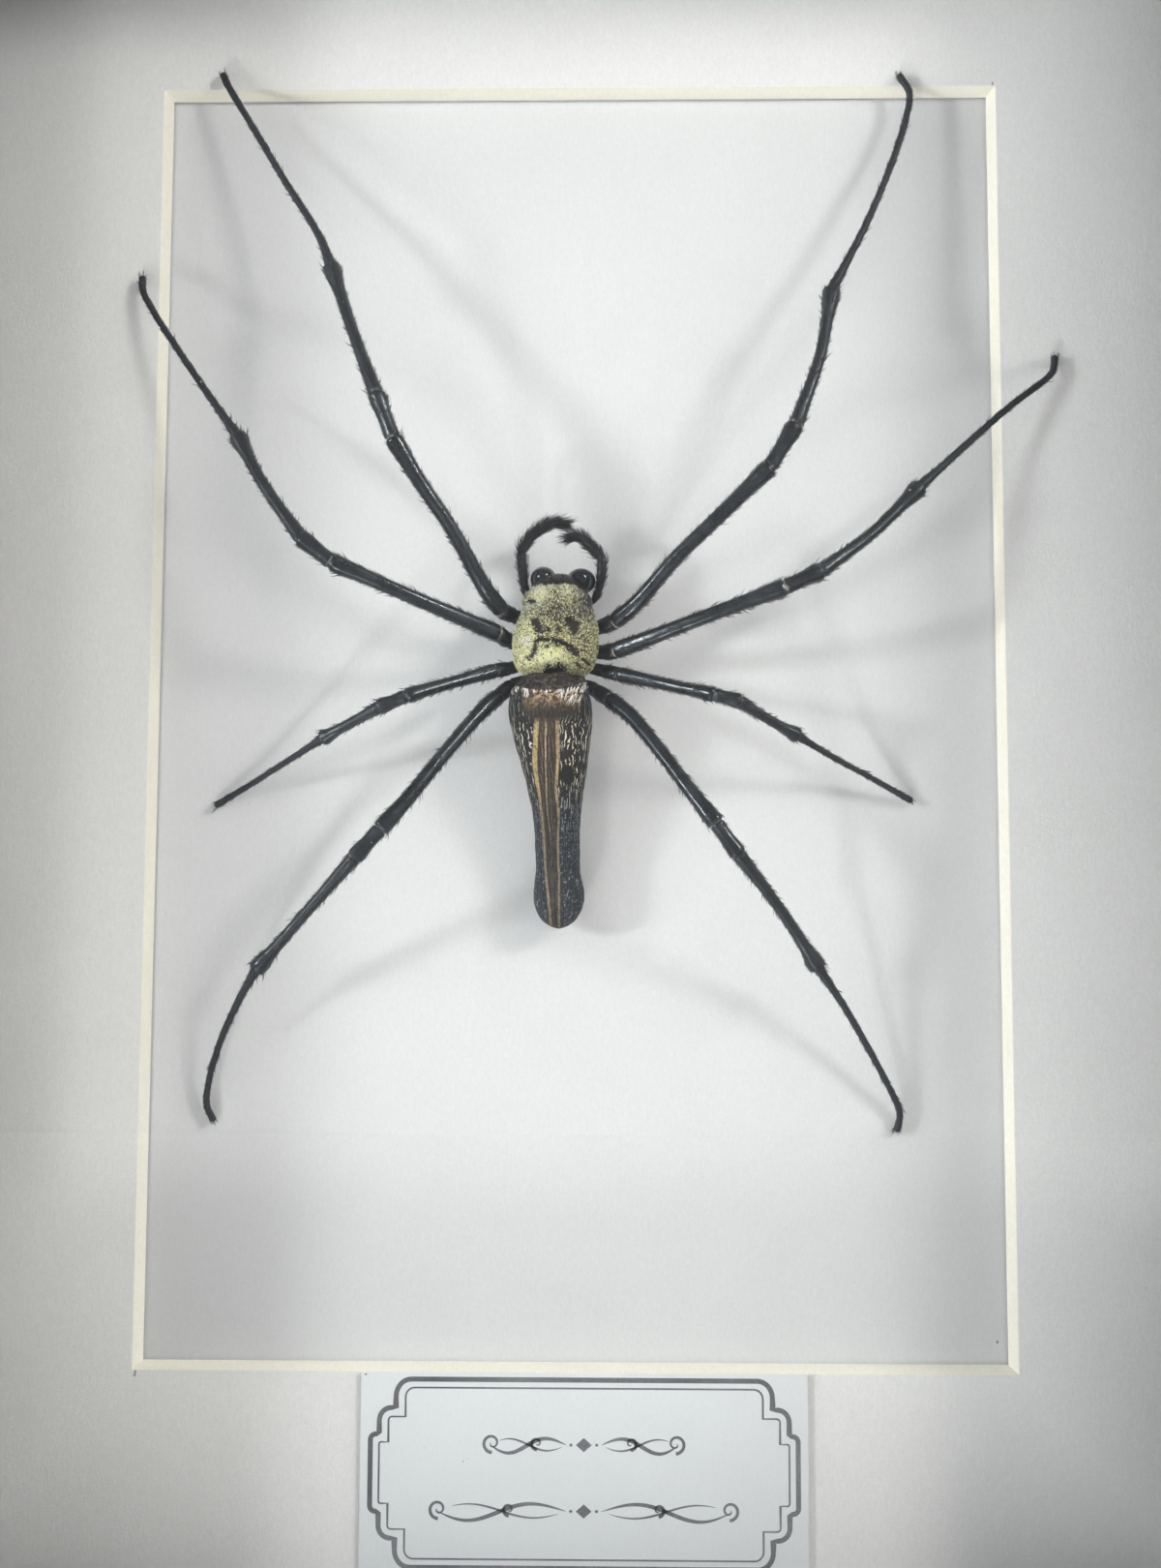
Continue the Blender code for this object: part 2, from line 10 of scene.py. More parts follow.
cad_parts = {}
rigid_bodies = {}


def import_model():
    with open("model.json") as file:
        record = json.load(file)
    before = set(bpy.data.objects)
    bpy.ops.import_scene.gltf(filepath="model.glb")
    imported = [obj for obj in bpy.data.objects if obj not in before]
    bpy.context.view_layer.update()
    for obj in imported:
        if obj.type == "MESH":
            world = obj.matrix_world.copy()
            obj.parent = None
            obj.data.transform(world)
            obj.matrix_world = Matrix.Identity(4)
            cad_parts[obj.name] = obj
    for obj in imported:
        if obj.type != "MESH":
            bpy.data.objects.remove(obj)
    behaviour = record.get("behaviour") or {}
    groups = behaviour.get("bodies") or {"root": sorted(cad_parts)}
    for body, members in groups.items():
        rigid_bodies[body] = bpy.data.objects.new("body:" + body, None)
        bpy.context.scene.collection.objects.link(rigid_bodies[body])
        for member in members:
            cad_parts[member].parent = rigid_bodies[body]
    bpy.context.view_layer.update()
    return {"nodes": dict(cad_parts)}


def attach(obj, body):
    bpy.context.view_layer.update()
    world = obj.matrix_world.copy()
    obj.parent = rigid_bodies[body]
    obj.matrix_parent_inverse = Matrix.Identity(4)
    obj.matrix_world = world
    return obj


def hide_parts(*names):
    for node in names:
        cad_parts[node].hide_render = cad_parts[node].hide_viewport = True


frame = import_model()
nodes = frame["nodes"]
view = bpy.context.view_layer
links = bpy.context.scene.collection.objects
print("frame loaded:", len(nodes), "solids")

# places on the spider are x and z from the middle of the window and a height over the backing card, in mm
layout = {"windowShift": 2.0, "centreHeight": 109.0, "cardFront": 7.9}


def spot(x, z, height):
    return Vector((x + layout["windowShift"], layout["cardFront"] - height, z + layout["centreHeight"])) / 1000


def follow(rows, place):
    # smooth curve through table rows, each with its place first; rows may climb or fall
    rows = rows if rows[0][0] < rows[-1][0] else rows[::-1]
    place = min(max(place, rows[0][0]), rows[-1][0])
    k = max(i for i in range(len(rows) - 1) if rows[i][0] <= place)
    a, b = rows[k], rows[k + 1]
    before, after = rows[max(k - 1, 0)], rows[min(k + 2, len(rows) - 1)]
    span = b[0] - a[0]
    t = (place - a[0]) / span
    values = []
    for c in range(1, len(a)):
        leave = (b[c] - before[c]) / (b[0] - before[0]) * span
        arrive = (after[c] - a[c]) / (after[0] - a[0]) * span
        values.append(a[c] * (2 * t**3 - 3 * t**2 + 1) + leave * (t**3 - 2 * t**2 + t)
                      + b[c] * (3 * t**2 - 2 * t**3) + arrive * (t**3 - t**2))
    return values


def hump(value, middle, width):
    return math.exp(-((value - middle) / width) ** 2)


def deselectAll():
    if bpy.context.mode != "OBJECT":
        bpy.ops.object.mode_set(mode="OBJECT")
    bpy.ops.object.select_all(action="DESELECT")


def pickUp(thing):
    deselectAll()
    thing.select_set(True)
    view.objects.active = thing


def finishPiece(thing, replaced=()):
    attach(thing, "root")
    if replaced:
        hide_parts(*replaced)
    return thing


def applyModifier(thing, kind, **settings):
    pickUp(thing)
    modifier = thing.modifiers.new(kind.title(), kind)
    for key, value in settings.items():
        setattr(modifier, key, value)
    bpy.ops.object.modifier_apply(modifier=modifier.name)


def settleOrder(mesh):
    # the extrusions and merges leave points and faces in an order that can change from run to run
    shape = bmesh.new()
    shape.from_mesh(mesh)
    order, row = shape.verts.layers.int["order"], shape.verts.layers.int["row"]
    shape.verts.sort(key=lambda vertex: vertex[row] * 1000 + vertex[order])
    shape.verts.index_update()

    def rank(element):
        numbers = [vertex.index for vertex in element.verts]
        return min(numbers) * 1e10 + sum(number ** 2 for number in numbers)

    shape.edges.sort(key=rank)
    shape.faces.sort(key=rank)
    shape.to_mesh(mesh)
    shape.free()


def drawTube(name, rings, openStart=False):
    # a circle is extruded once for each ring, every new loop goes to its own place, and the ends are drawn shut
    deselectAll()
    bpy.ops.mesh.primitive_circle_add(vertices=len(rings[0]), radius=0.001, fill_type="NOTHING")
    tube = view.objects.active
    tube.name = name
    bpy.ops.object.mode_set(mode="EDIT")
    shape = bmesh.from_edit_mesh(tube.data)
    order = shape.verts.layers.int.new("order")
    row = shape.verts.layers.int.new("row")
    for i, vertex in enumerate(shape.verts):
        vertex[order] = i
        vertex.co = rings[0][i]
    bmesh.update_edit_mesh(tube.data)
    for k, ring in enumerate(rings[1:], start=1):
        bpy.ops.mesh.extrude_region_move()
        shape = bmesh.from_edit_mesh(tube.data)
        order = shape.verts.layers.int["order"]
        row = shape.verts.layers.int["row"]
        for vertex in shape.verts:
            if vertex.select:
                vertex[row] = k
                vertex.co = ring[vertex[order]]
        bmesh.update_edit_mesh(tube.data)
    for shut, last in ((True, len(rings) - 1), (not openStart, 0)):
        bpy.ops.mesh.select_all(action="DESELECT")
        shape = bmesh.from_edit_mesh(tube.data)
        row = shape.verts.layers.int["row"]
        for vertex in shape.verts:
            vertex.select = vertex[row] == last
        shape.select_flush_mode()
        bmesh.update_edit_mesh(tube.data)
        if shut:
            bpy.ops.mesh.merge(type="CENTER")
    bpy.ops.mesh.select_all(action="SELECT")
    bpy.ops.mesh.normals_make_consistent(inside=False)
    bpy.ops.object.mode_set(mode="OBJECT")
    settleOrder(tube.data)
    bpy.ops.object.shade_smooth()
    return tube


def ringNumbers(tube):
    # ring and place on the ring of every vertex, read before any modifier mixes them
    count = len(tube.data.vertices)
    rows, orders = np.zeros(count, np.int32), np.zeros(count, np.int32)
    tube.data.attributes["row"].data.foreach_get("value", rows)
    tube.data.attributes["order"].data.foreach_get("value", orders)
    for name in ("row", "order"):
        tube.data.attributes.remove(tube.data.attributes[name])
    return rows, orders


def keepValues(thing, name, values):
    attribute = thing.data.attributes.new(name, "FLOAT", "POINT")
    attribute.data.foreach_set("value", np.asarray(values, np.float32))


def vertexPlaces(thing):
    places = np.zeros(len(thing.data.vertices) * 3, np.float32)
    thing.data.vertices.foreach_get("co", places)
    return places.reshape(-1, 3)


def windowPlaces(points):
    # world metres back to window x, z and height in mm
    mm = np.asarray(points, float) * 1000
    return np.stack([mm[:, 0] - layout["windowShift"], mm[:, 2] - layout["centreHeight"],
                     layout["cardFront"] - mm[:, 1]], 1)


def scatter(thing, count, seed):
    # points and normals spread over a mesh by area
    draw = np.random.default_rng(seed)
    thing.data.calc_loop_triangles()
    triangles = np.array([t.vertices for t in thing.data.loop_triangles])
    turned = (np.argmin(triangles, 1)[:, None] + np.arange(3)) % 3
    triangles = np.take_along_axis(triangles, turned, 1)
    triangles = triangles[np.lexsort(triangles.T[::-1])]
    corners = vertexPlaces(thing)[triangles].astype(float)
    across = np.cross(corners[:, 1] - corners[:, 0], corners[:, 2] - corners[:, 0])
    area = np.linalg.norm(across, axis=1)
    chosen = draw.choice(len(area), count, p=area / area.sum())
    a, b = draw.random(count), draw.random(count)
    over = a + b > 1
    a[over], b[over] = 1 - a[over], 1 - b[over]
    base = corners[chosen]
    places = base[:, 0] + a[:, None] * (base[:, 1] - base[:, 0]) + b[:, None] * (base[:, 2] - base[:, 0])
    return places, across[chosen] / area[chosen][:, None]


def unit(vectors):
    return vectors / np.maximum(np.linalg.norm(vectors, axis=1), 1e-12)[:, None]


def makeHairModels():
    # one stiff bristle and one bent one, modelled once and copied into every coat
    models = {}
    for name, levels in (("straightHair", (0.0,)), ("bentHair", (0.0, 0.45))):
        rings = []
        for level in levels:
            size = 1 - 0.35 * level
            rings.append([Vector((size * math.cos(2.0944 * i), size * math.sin(2.0944 * i), level))
                          for i in range(3)])
        rings.append([Vector((0, 0, 1))] * 3)
        hair = drawTube(name, rings, openStart=True)
        hair.data.attributes.remove(hair.data.attributes["row"])
        models[name] = (vertexPlaces(hair), [list(f.vertices) for f in hair.data.polygons])
        bpy.data.objects.remove(hair)
    return models


def sow(name, model, roots, sideways, upward, forward, droop=None):
    # copies of one model, each with its own three axes
    points, faces = model
    spread = (roots[:, None, :] + points[None, :, 0:1] * sideways[:, None, :]
              + points[None, :, 1:2] * upward[:, None, :] + points[None, :, 2:3] * forward[:, None, :])
    if droop is not None:
        spread = spread + (points[None, :, 2:3] ** 2) * droop[:, None, :]
    step = len(points)
    mesh = bpy.data.meshes.new(name)
    allFaces = [[v + step * i for v in face] for i in range(len(roots)) for face in faces]
    mesh.from_pydata(spread.reshape(-1, 3).tolist(), [], allFaces)
    mesh.polygons.foreach_set("use_smooth", [True] * len(mesh.polygons))
    coat = bpy.data.objects.new(name, mesh)
    links.link(coat)
    return coat, step


def growHairs(name, model, roots, heading, normals, length, width, droop, seed):
    # hairs that lean along their heading; length, width and droop are in metres
    draw = np.random.default_rng(seed)
    heading = unit(heading)
    side = unit(np.cross(heading, normals + draw.normal(0, 0.2, normals.shape)))
    other = np.cross(side, heading)
    return sow(name, model, roots, side * width[:, None], other * width[:, None] * 0.6,
               heading * length[:, None], normals * -droop[:, None])


def addNode(tree, kind, **settings):
    node = tree.nodes.new(kind)
    for key, value in settings.items():
        setattr(node, key, value)
    return node


def plug(tree, socket, value):
    if isinstance(value, bpy.types.NodeSocket):
        tree.links.new(value, socket)
    elif isinstance(value, (tuple, list)) and socket.type == "RGBA":
        socket.default_value = (*value[:3], 1.0)
    else:
        socket.default_value = value


def reckon(tree, operation, first, second=None, third=None, clamp=False):
    node = addNode(tree, "ShaderNodeMath", operation=operation, use_clamp=clamp)
    for socket, value in zip(node.inputs, (first, second, third)):
        if value is not None:
            plug(tree, socket, value)
    return node.outputs[0]


def times(tree, first, second):
    return reckon(tree, "MULTIPLY", first, second)


def timesPlus(tree, first, second, third):
    return reckon(tree, "MULTIPLY_ADD", first, second, third)


def ease(tree, value, low, high, fromValue=0.0, toValue=1.0):
    node = addNode(tree, "ShaderNodeMapRange", interpolation_type="SMOOTHSTEP")
    for socket, given in zip(node.inputs, (value, low, high, fromValue, toValue)):
        plug(tree, socket, given)
    return node.outputs[0]


def mixColours(tree, factor, first, second):
    node = addNode(tree, "ShaderNodeMix", data_type="RGBA")
    plug(tree, node.inputs[0], factor)
    plug(tree, node.inputs[6], first)
    plug(tree, node.inputs[7], second)
    return node.outputs[2]


def grainAt(tree, vector, scale, detail=2.0, roughness=0.5, distortion=0.0):
    node = addNode(tree, "ShaderNodeTexNoise")
    plug(tree, node.inputs["Vector"], vector)
    node.inputs["Scale"].default_value = scale
    node.inputs["Detail"].default_value = detail
    node.inputs["Roughness"].default_value = roughness
    node.inputs["Distortion"].default_value = distortion
    return node.outputs[0]


def stretched(tree, vector, scale, turn=(0, 0, 0), shift=(0, 0, 0)):
    node = addNode(tree, "ShaderNodeMapping")
    plug(tree, node.inputs["Vector"], vector)
    node.inputs["Scale"].default_value = scale
    node.inputs["Rotation"].default_value = turn
    node.inputs["Location"].default_value = shift
    return node.outputs[0]


def objectPlace(tree):
    return addNode(tree, "ShaderNodeTexCoord").outputs["Object"]


def readValue(tree, name):
    return addNode(tree, "ShaderNodeAttribute", attribute_name=name).outputs["Fac"]


def gradient(tree, factor, stops):
    node = addNode(tree, "ShaderNodeValToRGB")
    ramp = node.color_ramp
    while len(ramp.elements) < len(stops):
        ramp.elements.new(0.5)
    for element, (place, colour) in zip(ramp.elements, stops):
        element.position = place
        element.color = (*colour, 1.0)
    plug(tree, node.inputs[0], factor)
    return node.outputs[0]


def relief(tree, height, depth, strength=1.0):
    node = addNode(tree, "ShaderNodeBump")
    node.inputs["Strength"].default_value = strength
    node.inputs["Distance"].default_value = depth
    plug(tree, node.inputs["Height"], height)
    return node.outputs["Normal"]


def dress(shader, **values):
    # values and links for the shader's own sockets
    for key, value in values.items():
        plug(shader.id_data, shader.inputs[key.replace("_", " ")], value)


def newFinish(name, **plain):
    finish = bpy.data.materials.new(name)
    finish.use_nodes = True
    shader = finish.node_tree.nodes["Principled BSDF"]
    dress(shader, **plain)
    return finish, finish.node_tree, shader


def newEffect(name, inputs, outputs):
    tree = bpy.data.node_groups.new(name, "ShaderNodeTree")
    for label, kind, value in inputs:
        socket = tree.interface.new_socket(name=label, in_out="INPUT", socket_type="NodeSocket" + kind)
        if value is not None:
            socket.default_value = value
    for label, kind in outputs:
        tree.interface.new_socket(name=label, in_out="OUTPUT", socket_type="NodeSocket" + kind)
    return tree, tree.nodes.new("NodeGroupInput").outputs, tree.nodes.new("NodeGroupOutput").inputs


def useEffect(tree, effect, **values):
    node = addNode(tree, "ShaderNodeGroup", node_tree=effect)
    for key, value in values.items():
        plug(tree, node.inputs[key], value)
    return node.outputs


def makePaperFibre():
    # felted paper: soft clouds, short fibres and fine tooth
    tree, given, result = newEffect("paperFibre", [("Place", "Vector", None)],
                                    [("Tone", "Float"), ("Height", "Float")])
    clouds = grainAt(tree, given["Place"], 60, 2)
    tooth = grainAt(tree, given["Place"], 4200, 3, 0.6)
    fibres = grainAt(tree, stretched(tree, given["Place"], (2.5, 1, 1)), 1500, 2, 0.6, 0.8)
    mixed = timesPlus(tree, fibres, 0.5, times(tree, tooth, 0.5))
    plug(tree, result["Height"], mixed)
    plug(tree, result["Tone"], timesPlus(tree, clouds, 0.2, times(tree, mixed, 0.8)))
    return tree


def makeDustSprinkle():
    # separate specks of dust
    tree, given, result = newEffect("dustSprinkle", [("Place", "Vector", None), ("Scale", "Float", 900.0),
                                                     ("Share", "Float", 0.1)], [("Mask", "Float")])
    cells = addNode(tree, "ShaderNodeTexVoronoi", feature="F1")
    plug(tree, cells.inputs["Vector"], given["Place"])
    plug(tree, cells.inputs["Scale"], given["Scale"])
    pick = addNode(tree, "ShaderNodeSeparateColor")
    plug(tree, pick.inputs[0], cells.outputs["Color"])
    chosen = reckon(tree, "LESS_THAN", pick.outputs[0], given["Share"])
    size = times(tree, pick.outputs[1], 0.22)
    inside = reckon(tree, "LESS_THAN", cells.outputs["Distance"], size)
    plug(tree, result["Mask"], times(tree, chosen, inside))
    return tree


def makeStrokeMark():
    # a straight stroke between two places in x and z
    tree, given, result = newEffect("strokeMark", [("Place", "Vector", None), ("Start X", "Float", 0.0),
                                                   ("Start Z", "Float", 0.0), ("End X", "Float", 0.0),
                                                   ("End Z", "Float", 0.0), ("Width", "Float", 0.001)],
                                    [("Mask", "Float")])
    split = addNode(tree, "ShaderNodeSeparateXYZ")
    plug(tree, split.inputs[0], given["Place"])
    fromX = reckon(tree, "SUBTRACT", split.outputs[0], given["Start X"])
    fromZ = reckon(tree, "SUBTRACT", split.outputs[2], given["Start Z"])
    runX = reckon(tree, "SUBTRACT", given["End X"], given["Start X"])
    runZ = reckon(tree, "SUBTRACT", given["End Z"], given["Start Z"])
    dot = timesPlus(tree, fromX, runX, times(tree, fromZ, runZ))
    size = timesPlus(tree, runX, runX, times(tree, runZ, runZ))
    share = reckon(tree, "DIVIDE", dot, size, clamp=True)
    offX = reckon(tree, "SUBTRACT", fromX, times(tree, share, runX))
    offZ = reckon(tree, "SUBTRACT", fromZ, times(tree, share, runZ))
    off = reckon(tree, "SQRT", timesPlus(tree, offX, offX, times(tree, offZ, offZ)))
    half = times(tree, given["Width"], 0.5)
    plug(tree, result["Mask"], ease(tree, off, half, times(tree, half, 0.5), 0.0, 1.0))
    return tree


def makeShellSurface():
    # dried shell: fine pits, faint cloudy bloom and hair sockets
    tree, given, result = newEffect("shellSurface", [("Place", "Vector", None)],
                                    [("Tone", "Float"), ("Height", "Float"), ("Sockets", "Float")])
    bloom = grainAt(tree, given["Place"], 420, 4, 0.6)
    skin = grainAt(tree, given["Place"], 5200, 3, 0.55)
    cells = addNode(tree, "ShaderNodeTexVoronoi", feature="F1")
    plug(tree, cells.inputs["Vector"], given["Place"])
    cells.inputs["Scale"].default_value = 3600
    sockets = ease(tree, cells.outputs["Distance"], 0.08, 0.3, 1.0, 0.0)
    plug(tree, result["Tone"], bloom)
    plug(tree, result["Sockets"], sockets)
    plug(tree, result["Height"], timesPlus(tree, sockets, -0.5, skin))
    return tree


paperFibre = makePaperFibre()
dustSprinkle = makeDustSprinkle()
strokeMark = makeStrokeMark()
shellSurface = makeShellSurface()
hairModels = makeHairModels()
print("shared effects and hair models ready")

mouldingLook = {"paint": (0.011, 0.012, 0.014), "worn": (0.05, 0.052, 0.056),
                "dust": (0.4, 0.39, 0.37), "edgeRound": 0.00045}
sheetLook = {"mountPaper": (0.86, 0.845, 0.835), "mountShade": (0.78, 0.765, 0.755), "core": (0.87, 0.83, 0.735),
             "coreShade": (0.80, 0.76, 0.66), "card": (0.80, 0.795, 0.80), "cardShade": (0.74, 0.735, 0.74),
             "board": (0.20, 0.115, 0.055), "boardDark": (0.11, 0.06, 0.03), "boardCloud": (0.27, 0.17, 0.09),
             "spacer": (0.018, 0.019, 0.021), "spacerLight": (0.035, 0.036, 0.038)}
# where the knife ran past two corners of the window: start and end in x and z, in metres
knifeMarks = {"cuts": (((0.05007, 0.1817), (0.0502, 0.1826)), ((-0.04605, 0.0359), (-0.0462, 0.0351))),
              "width": 0.00028, "colour": (0.16, 0.15, 0.14)}
zincLook = {"dark": (0.42, 0.42, 0.42), "light": (0.62, 0.62, 0.60)}
glassLook = {"body": (0.985, 0.995, 0.99), "shadow": (0.96, 0.97, 0.965, 1.0)}


def makeMouldingFinish():
    finish, tree, shader = newFinish("blackMouldingPaint", IOR=1.5)
    place = objectPlace(tree)
    grain = grainAt(tree, stretched(tree, place, (9, 9, 0.9)), 160, 4, 0.55, 0.4)
    peel = grainAt(tree, place, 2600, 2)
    dust = useEffect(tree, dustSprinkle, Place=place, Scale=620.0, Share=0.05)["Mask"]
    cloud = grainAt(tree, place, 36, 3)
    tone = mixColours(tree, times(tree, cloud, 0.3), mouldingLook["paint"], mouldingLook["worn"])
    dress(shader, Base_Color=mixColours(tree, times(tree, dust, 0.35), tone, mouldingLook["dust"]))
    dress(shader, Roughness=ease(tree, cloud, 0.3, 0.7, 0.34, 0.46))
    height = timesPlus(tree, peel, 0.35, grain)
    dress(shader, Normal=relief(tree, height, 0.00006, 0.6))
    return finish


def makePaperFinish(name, light, shade, depth, roughness):
    finish, tree, shader = newFinish(name, Roughness=roughness, Specular_IOR_Level=0.25)
    fibre = useEffect(tree, paperFibre, Place=objectPlace(tree))
    tone = ease(tree, fibre["Tone"], 0.36, 0.66)
    dress(shader, Base_Color=mixColours(tree, tone, shade, light))
    dress(shader, Normal=relief(tree, fibre["Height"], depth, 0.5))
    return finish, tree, shader


def makeMountFinish():
    finish, tree, shader = makePaperFinish("mountPaper", sheetLook["mountPaper"], sheetLook["mountShade"],
                                           0.00008, 0.85)
    surface = shader.inputs["Base Color"].links[0].from_socket
    marks = 0.0
    for start, end in knifeMarks["cuts"]:
        ends = {"Start X": start[0], "Start Z": start[1], "End X": end[0], "End Z": end[1]}
        cut = useEffect(tree, strokeMark, Place=objectPlace(tree), Width=knifeMarks["width"], **ends)["Mask"]
        marks = reckon(tree, "MAXIMUM", cut, marks)
    dress(shader, Base_Color=mixColours(tree, times(tree, marks, 0.8), surface, knifeMarks["colour"]))
    return finish


def makeHardboardFinish():
    finish, tree, shader = newFinish("brownHardboard", Roughness=0.72)
    place = objectPlace(tree)
    fleck = grainAt(tree, place, 700, 4, 0.7)
    strand = grainAt(tree, stretched(tree, place, (1, 1, 4), (0, 0.6, 0)), 900, 3, 0.6, 1.5)
    cloud = grainAt(tree, place, 22, 2)
    mixed = timesPlus(tree, strand, 0.6, times(tree, fleck, 0.4))
    tone = mixColours(tree, ease(tree, mixed, 0.38, 0.62), sheetLook["boardDark"], sheetLook["board"])
    dress(shader, Base_Color=mixColours(tree, times(tree, cloud, 0.35), tone, sheetLook["boardCloud"]))
    dress(shader, Normal=relief(tree, mixed, 0.00012, 0.7))
    return finish


def makeSpacerFinish():
    finish, tree, shader = newFinish("blackSpacerCard", Specular_IOR_Level=0.3)
    fibre = useEffect(tree, paperFibre, Place=objectPlace(tree))
    dress(shader, Base_Color=mixColours(tree, fibre["Tone"], sheetLook["spacer"], sheetLook["spacerLight"]))
    dress(shader, Roughness=ease(tree, fibre["Tone"], 0.3, 0.7, 0.65, 0.8))
    dress(shader, Normal=relief(tree, fibre["Height"], 0.0001, 0.6))
    return finish


def makeZincFinish():
    finish, tree, shader = newFinish("dullZinc", Metallic=1.0)
    place = objectPlace(tree)
    brushed = grainAt(tree, stretched(tree, place, (14, 14, 0.8)), 500, 3, 0.6)
    spangle = grainAt(tree, place, 260, 3)
    dress(shader, Base_Color=gradient(tree, spangle, [(0.3, zincLook["dark"]), (0.7, zincLook["light"])]))
    dress(shader, Roughness=ease(tree, spangle, 0.3, 0.7, 0.3, 0.48))
    dress(shader, Normal=relief(tree, brushed, 0.00003, 0.5))
    return finish


def makeGlassFinish():
    # clear glass that lets lamp light through, so the specimen under it is lit
    finish, tree, shader = newFinish("clearGlass", Base_Color=glassLook["body"], Roughness=0.0, IOR=1.45,
                                     Transmission_Weight=1.0)
    clear = addNode(tree, "ShaderNodeBsdfTransparent")
    clear.inputs["Color"].default_value = glassLook["shadow"]
    rays = addNode(tree, "ShaderNodeLightPath")
    mix = addNode(tree, "ShaderNodeMixShader")
    output = tree.nodes["Material Output"]
    tree.links.new(rays.outputs["Is Shadow Ray"], mix.inputs[0])
    tree.links.new(shader.outputs[0], mix.inputs[1])
    tree.links.new(clear.outputs[0], mix.inputs[2])
    tree.links.new(mix.outputs[0], output.inputs["Surface"])
    return finish


def softenNode(nodeName, pieceName, finish, edgeRound, segments=3):
    # the solid's own shape with its edges rounded off
    piece = bpy.data.objects.new(pieceName, nodes[nodeName].data.copy())
    links.link(piece)
    piece.data.materials.clear()
    piece.data.materials.append(finish)
    pickUp(piece)
    bpy.ops.mesh.customdata_custom_splitnormals_clear()
    bpy.ops.object.mode_set(mode="EDIT")
    bpy.ops.mesh.select_all(action="SELECT")
    bpy.ops.mesh.remove_doubles(threshold=0.000002)
    bpy.ops.mesh.dissolve_limited(angle_limit=math.radians(1))
    bpy.ops.object.mode_set(mode="OBJECT")
    applyModifier(piece, "BEVEL", width=edgeRound, segments=segments, limit_method="ANGLE",
                  angle_limit=math.radians(25), harden_normals=False)
    bpy.ops.object.shade_smooth_by_angle(angle=math.radians(35))
    return finishPiece(piece, (nodeName,))


mouldingFinish = makeMouldingFinish()
spacerFinish = makeSpacerFinish()
sides = ("top", "bottom", "left", "right")
for side in sides:
    softenNode("frame_%s_rail" % side, side + "_moulding", mouldingFinish,
               mouldingLook["edgeRound"])
for side in sides:
    softenNode("spacer_" + side, side + "_spacer_strip", spacerFinish, 0.0002, 2)

zincFinish = makeZincFinish()
for number in range(1, 9):
    softenNode("retaining_tab_%d" % number, "bent_tab_%d" % number, zincFinish, 0.0001, 2)
softenNode("hanger_plate", "saw_tooth_hanger", zincFinish, 0.00012, 2)
for side in ("left", "right"):
    nodes["hanger_rivet_" + side].data.materials[0] = zincFinish

softenNode("back_board", "hardboard_back", makeHardboardFinish(), 0.0002, 2)
cardFinish = makePaperFinish("backingPaper", sheetLook["card"], sheetLook["cardShade"], 0.00005, 0.9)[0]
softenNode("backing_card", "white_backing", cardFinish, 0.0001, 2)
nodes["glass_pane"].data.materials[0] = makeGlassFinish()
print("frame, glass and back dressed")


def makeMount():
    # off-white face paper; the cut through it shows the cream core
    mount = softenNode("mount_board", "bevelled_mount", makeMountFinish(), 0.00006, 2)
    core = makePaperFinish("mountCore", sheetLook["core"], sheetLook["coreShade"], 0.00012, 0.9)[0]
    mount.data.materials.append(core)
    for face in mount.data.polygons:
        if abs(face.normal.y) < 0.97:
            face.material_index = 1
    return mount


makeMount()

labelLook = {"centre": (1.15, -83.95), "front": 5.95, "printLift": 0.012, "thick": 0.54, "thin": 0.19,
             "ink": (0.085, 0.085, 0.095), "wornInk": (0.26, 0.26, 0.28), "paper": (0.80, 0.815, 0.83),
             "paperShade": (0.76, 0.775, 0.79)}
# each divider's height from the label's middle, half length and size of its waves
dividers = {"rows": ((3.05, 10.2, 1.0), (-3.95, 16.0, 1.15)), "steps": 36, "start": 1.9}
# a quarter of each printed line, from the top middle to the side; a third value rounds the way to that point
outerLine = [(0, 9.95), (18.85, 9.95), (20.5, 8.1, 1), (20.5, 7.0), (21.0, 6.9), (22.3, 5.55, 1), (22.3, 4.3),
             (22.6, 4.1), (23.25, 3.5, 1), (23.25, 0)]
innerLine = [(0, 9.05), (18.45, 9.05), (19.45, 8.05, 1), (19.45, 5.95), (20.9, 5.95), (21.3, 5.55, 1), (21.3, 3.25),
             (22.05, 3.25), (22.3, 3.0, 1), (22.3, 0)]


def quarterPath(corners):
    path = [Vector((corners[0][0], corners[0][1]))]
    for corner in corners[1:]:
        start, end = path[-1].copy(), Vector((corner[0], corner[1]))
        if len(corner) > 2:
            for k in range(1, 8):
                turn = math.pi / 2 * k / 8
                path.append(Vector((start.x + (end.x - start.x) * math.sin(turn),
                                    start.y + (end.y - start.y) * (1 - math.cos(turn)))))
        path.append(end)
    return path


def wholePath(corners):
    quarter = quarterPath(corners)
    right = quarter + [Vector((p.x, -p.y)) for p in quarter[-2::-1]]
    return right + [Vector((-p.x, p.y)) for p in right[-2:0:-1]]


def inkRibbon(points, widths, closed):
    # a flat stroke of ink: two edges either side of its path
    count = len(points)
    edges = []
    for k, point in enumerate(points):
        before = points[(k - 1) % count] if closed or k else point
        after = points[(k + 1) % count] if closed or k < count - 1 else point
        along = (after - before).normalized()
        across = Vector((-along.y, along.x)) * widths[k] / 2
        into, out = (point - before), (after - point)
        if into.length > 1e-6 and out.length > 1e-6:
            bend = max(0.55, math.sqrt(max(0.0, (1 + into.normalized().dot(out.normalized())) / 2)))
            across = across / bend
        edges.append((point + across, point - across))
    faces = []
    for k in range(count if closed else count - 1):
        j = (k + 1) % count
        faces.append((2 * k, 2 * k + 1, 2 * j + 1, 2 * j))
    return [p for pair in edges for p in pair], faces


